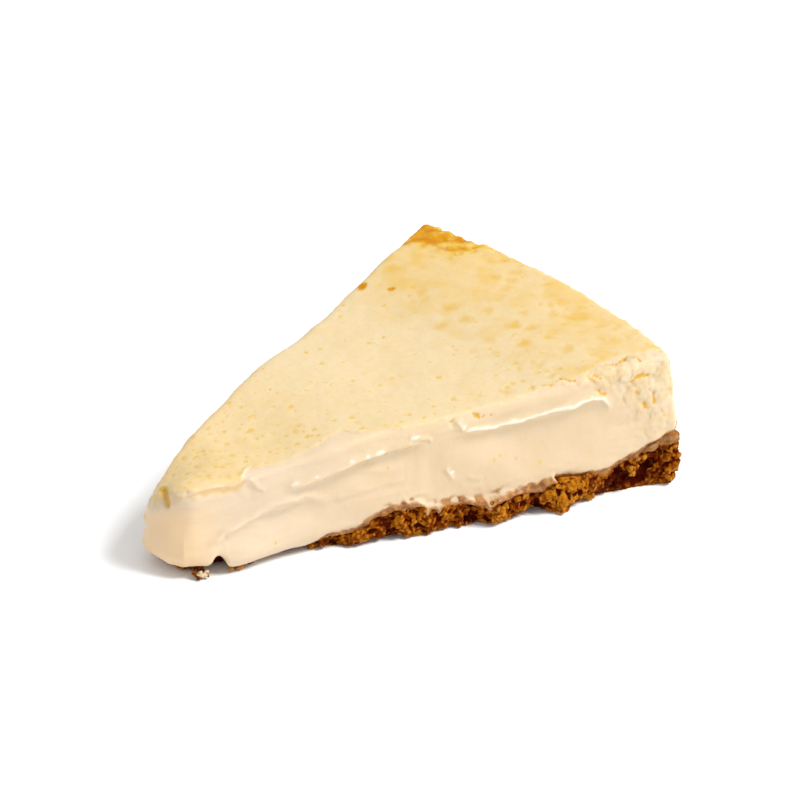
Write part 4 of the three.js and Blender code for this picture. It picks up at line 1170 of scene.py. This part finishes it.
def filling_material():
    n = Nodes("baked_filling")
    cut = n.mottled(colour(255, 229, 191), colour(251, 224, 182), 6, 3, high=0.7)
    cut = n.over(cut, "slope", 0.6, colour(259, 236, 208))
    # Painted warm shade tone on the tip's side that faces away from the key light
    cut = n.over(cut, "tip_side", 0.8, colour(275, 238, 188))
    # Painted highlight on the cut's ridges and painted shade in its hollows
    cut = n.over(cut, "ridge", 0.4, colour(263, 245, 214))
    cut = n.over(cut, "hollow", 0.25, colour(254, 218, 160))
    curds = n.over(colour(253, 230, 194), "curd_tone", 1, colour(250, 222, 174), 0.2, 0.9)
    # Painted shade: a deeper yellow in the hollows between the curds
    curds = n.over(curds, "hollow", 0.5, colour(253, 218, 152), 0.2, 0.9)
    cut = n.mix(n.mask("torn"), cut, curds)
    cut = n.over(cut, "shade", 0.75, colour(250, 210, 140), 0)
    cut = n.over(cut, "film", 0.8, colour(222, 174, 120), 0.1, 0.9)
    skin = n.mix(n.mask("slope"), colour(255, 230, 182), colour(264, 235, 180))
    skin = n.over(skin, "golden", 1, colour(250, 207, 114))
    skin = n.mottled(skin, colour(252, 210, 122), 0.9, 4, 0.6, low=0.54, high=0.7, share=0.35)
    skin = n.over(skin, "mottled", 0.8, colour(246, 196, 84), 0)
    brown = n.over(colour(250, 212, 96), "brown", 1, colour(236, 166, 0), 0.3, 0.9)
    brown = n.mottled(brown, colour(218, 130, 0), 2.2, 4, 0.65, low=0.48, high=0.62, share=0.65)
    skin = n.over(skin, "brown", 1, brown, 0.02, 0.5)
    side = n.mottled(colour(250, 220, 160), colour(242, 194, 110), 2.2, 4, 0.6)
    stain = n.mottled(colour(208, 144, 76), colour(150, 84, 26), 1.3, 4, 0.65, low=0.4, high=0.62)
    body = n.mix(n.mask("skin"), cut, skin)
    body = n.over(body, "fleck", 0.8, colour(253, 208, 88), 0.1, 0.9)
    body = n.over(body, "baked", 0.8, side)
    # Painted highlight
    body = n.over(body, "bright", 0.85, colour(270, 258, 240), 0.1)
    # Orange cracks and split, and painted warm shade in the curds' crevices
    body = n.over(body, "orange", 0.9, colour(246, 190, 72), 0.15, 0.9)
    body = n.over(body, "stain", 0.92, stain, 0.05, 0.8)
    rough = n.ramp(n.noise(1.8, 3), 0.3, 0.7, 0.3, 0.45)
    for name, more in (("torn", 0.12), ("skin", 0.1), ("wet", -0.2)):
        rough = n.maths("ADD", rough, n.maths("MULTIPLY", n.mask(name), more))
    n.bump(n.maths("ADD", n.maths("MULTIPLY", n.noise(0.5, 3, 0.6), 0.5), n.noise(1.4, 3, 0.5)), 0.4, 0.12)
    n.set(Base_Color=body, Roughness=rough, Specular_IOR_Level=0.14, Subsurface_Weight=0.4,
          Subsurface_Radius=(1.0, 0.75, 0.45), Subsurface_Scale=1.5 * MM)
    return n.material


def base_material():
    n = Nodes("biscuit_crumb")
    # Crumb colour from dark to golden by tone; its darkest end, in the hollows listed below zero, is painted
    # shade.
    crumb = n.over(colour(98, 26, 0), "tone", 1, colour(168, 88, 8), 0, 0.5)
    crumb = n.over(crumb, "tone", 1, colour(226, 144, 30), 0.4, 0.95)
    crumb = n.mottled(crumb, colour(116, 40, 0), 1.4, 4, 0.7, low=0.48, high=0.64, share=0.45)
    # Painted golden highlight on the crumbs' ridges
    crumb = n.over(crumb, "ridge", 0.65, colour(234, 162, 66), 0.1)
    moist = n.mottled(colour(208, 160, 108), colour(168, 112, 58), 1.5, 4, 0.6)
    patchy = n.ramp(n.noise(1.1, 4, 0.7), 0.36, 0.54, 0.55, 0.95)
    crumb = n.mix(n.maths("MULTIPLY", n.mask("moist"), patchy), crumb, moist)
    # Painted shade, darker in the hollows and near black in the deepest recesses
    crumb = n.over(crumb, "hollow", 0.88, colour(106, 34, 0), 0.15, 0.95)
    crumb = n.over(crumb, "deep", 0.9, colour(74, 10, 0), 0.05, 0.9)
    crumb = n.over(crumb, "cream", 1, colour(250, 226, 184))
    n.bump(n.maths("ADD", n.noise(0.35, 4, 0.7), n.noise(0.9, 3, 0.6)), 0.9, 0.2)
    rough = n.ramp(n.noise(1.2, 3), 0.3, 0.7, 0.5, 0.75)
    n.set(Base_Color=crumb, Roughness=rough, Specular_IOR_Level=0.02)
    return n.material


def floor_material():
    n = Nodes("pale_table")
    tint = n.mix(n.noise(120, 2), (0.97, 0.97, 0.97, 1), (0.96, 0.96, 0.965, 1))
    n.set(Base_Color=tint, Roughness=0.8, Specular_IOR_Level=0.1)
    return n.material


# Build
def to_frame(obj):
    """Moves a piece from the slice's plan in millimetres to the frame in metres."""
    set_points(obj, (get_points(obj) - FRAME_ORIGIN) * MM)


FILLING_VOXEL = 0.33
BASE_VOXEL = 0.25

filling = joined("filling_look", [filling_form(), dragged_cream()])
remesh(filling, FILLING_VOXEL)
finish_filling(filling, FILLING_VOXEL)
to_frame(filling)
filling.data.materials.append(filling_material())
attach(filling, "root")
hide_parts("cheese_filling")

base, crumb_centres = base_form()
remesh(base, BASE_VOXEL)
finish_base(base, crumb_centres, BASE_VOXEL)
to_frame(base)
base.data.materials.append(base_material())
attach(base, "root")
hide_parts("biscuit_base")

# Floor, light and camera
bpy.ops.mesh.primitive_plane_add(size=12)
floor = bpy.context.object
floor.name = "table"
floor.data.materials.append(floor_material())

ROOM_LIGHT = 0.75
world = bpy.data.worlds.new("studio")
bpy.context.scene.world = world
world.use_nodes = True
background = world.node_tree.nodes["Background"]
background.inputs["Color"].default_value = (1.0, 1.0, 1.0, 1)
background.inputs["Strength"].default_value = ROOM_LIGHT


def placed(name, data, place, target):
    """A light or a camera at a place, looking at its target."""
    obj = bpy.data.objects.new(name, data)
    obj.location = place
    obj.rotation_euler = (target - obj.location).to_track_quat("-Z", "Y").to_euler()
    bpy.context.scene.collection.objects.link(obj)
    return obj


KEY_PLACE = (0.397, -0.567, 0.85)
KEY_SIZE = 0.42
KEY_POWER = 12.8
key = bpy.data.lights.new("key", "AREA")
key.energy = KEY_POWER
key.size = KEY_SIZE
placed("key", key, KEY_PLACE, Vector((0, 0, 0.01)))

# The camera's angle, distance and lens, fitted to the outline in the photograph
CAMERA_AZIMUTH = math.radians(-39.904)
CAMERA_ELEVATION = math.radians(27.5)
CAMERA_DISTANCE = 1000.0
CAMERA_TARGET = np.array([78.74, 6.21, 12.0])
CAMERA_LENS = 234.61
lens = bpy.data.cameras.new("camera")
lens.lens = CAMERA_LENS
lens.sensor_width = 36.0
lens.clip_start = 0.05
lens.clip_end = 30.0
level = math.cos(CAMERA_ELEVATION)
towards = Vector((math.sin(CAMERA_AZIMUTH) * level, -math.cos(CAMERA_AZIMUTH) * level,
                  math.sin(CAMERA_ELEVATION)))
target = Vector((CAMERA_TARGET - FRAME_ORIGIN) * MM)
bpy.context.scene.camera = placed("camera", lens, target + towards * CAMERA_DISTANCE * MM, target)
bpy.context.scene.view_settings.view_transform = "Standard"
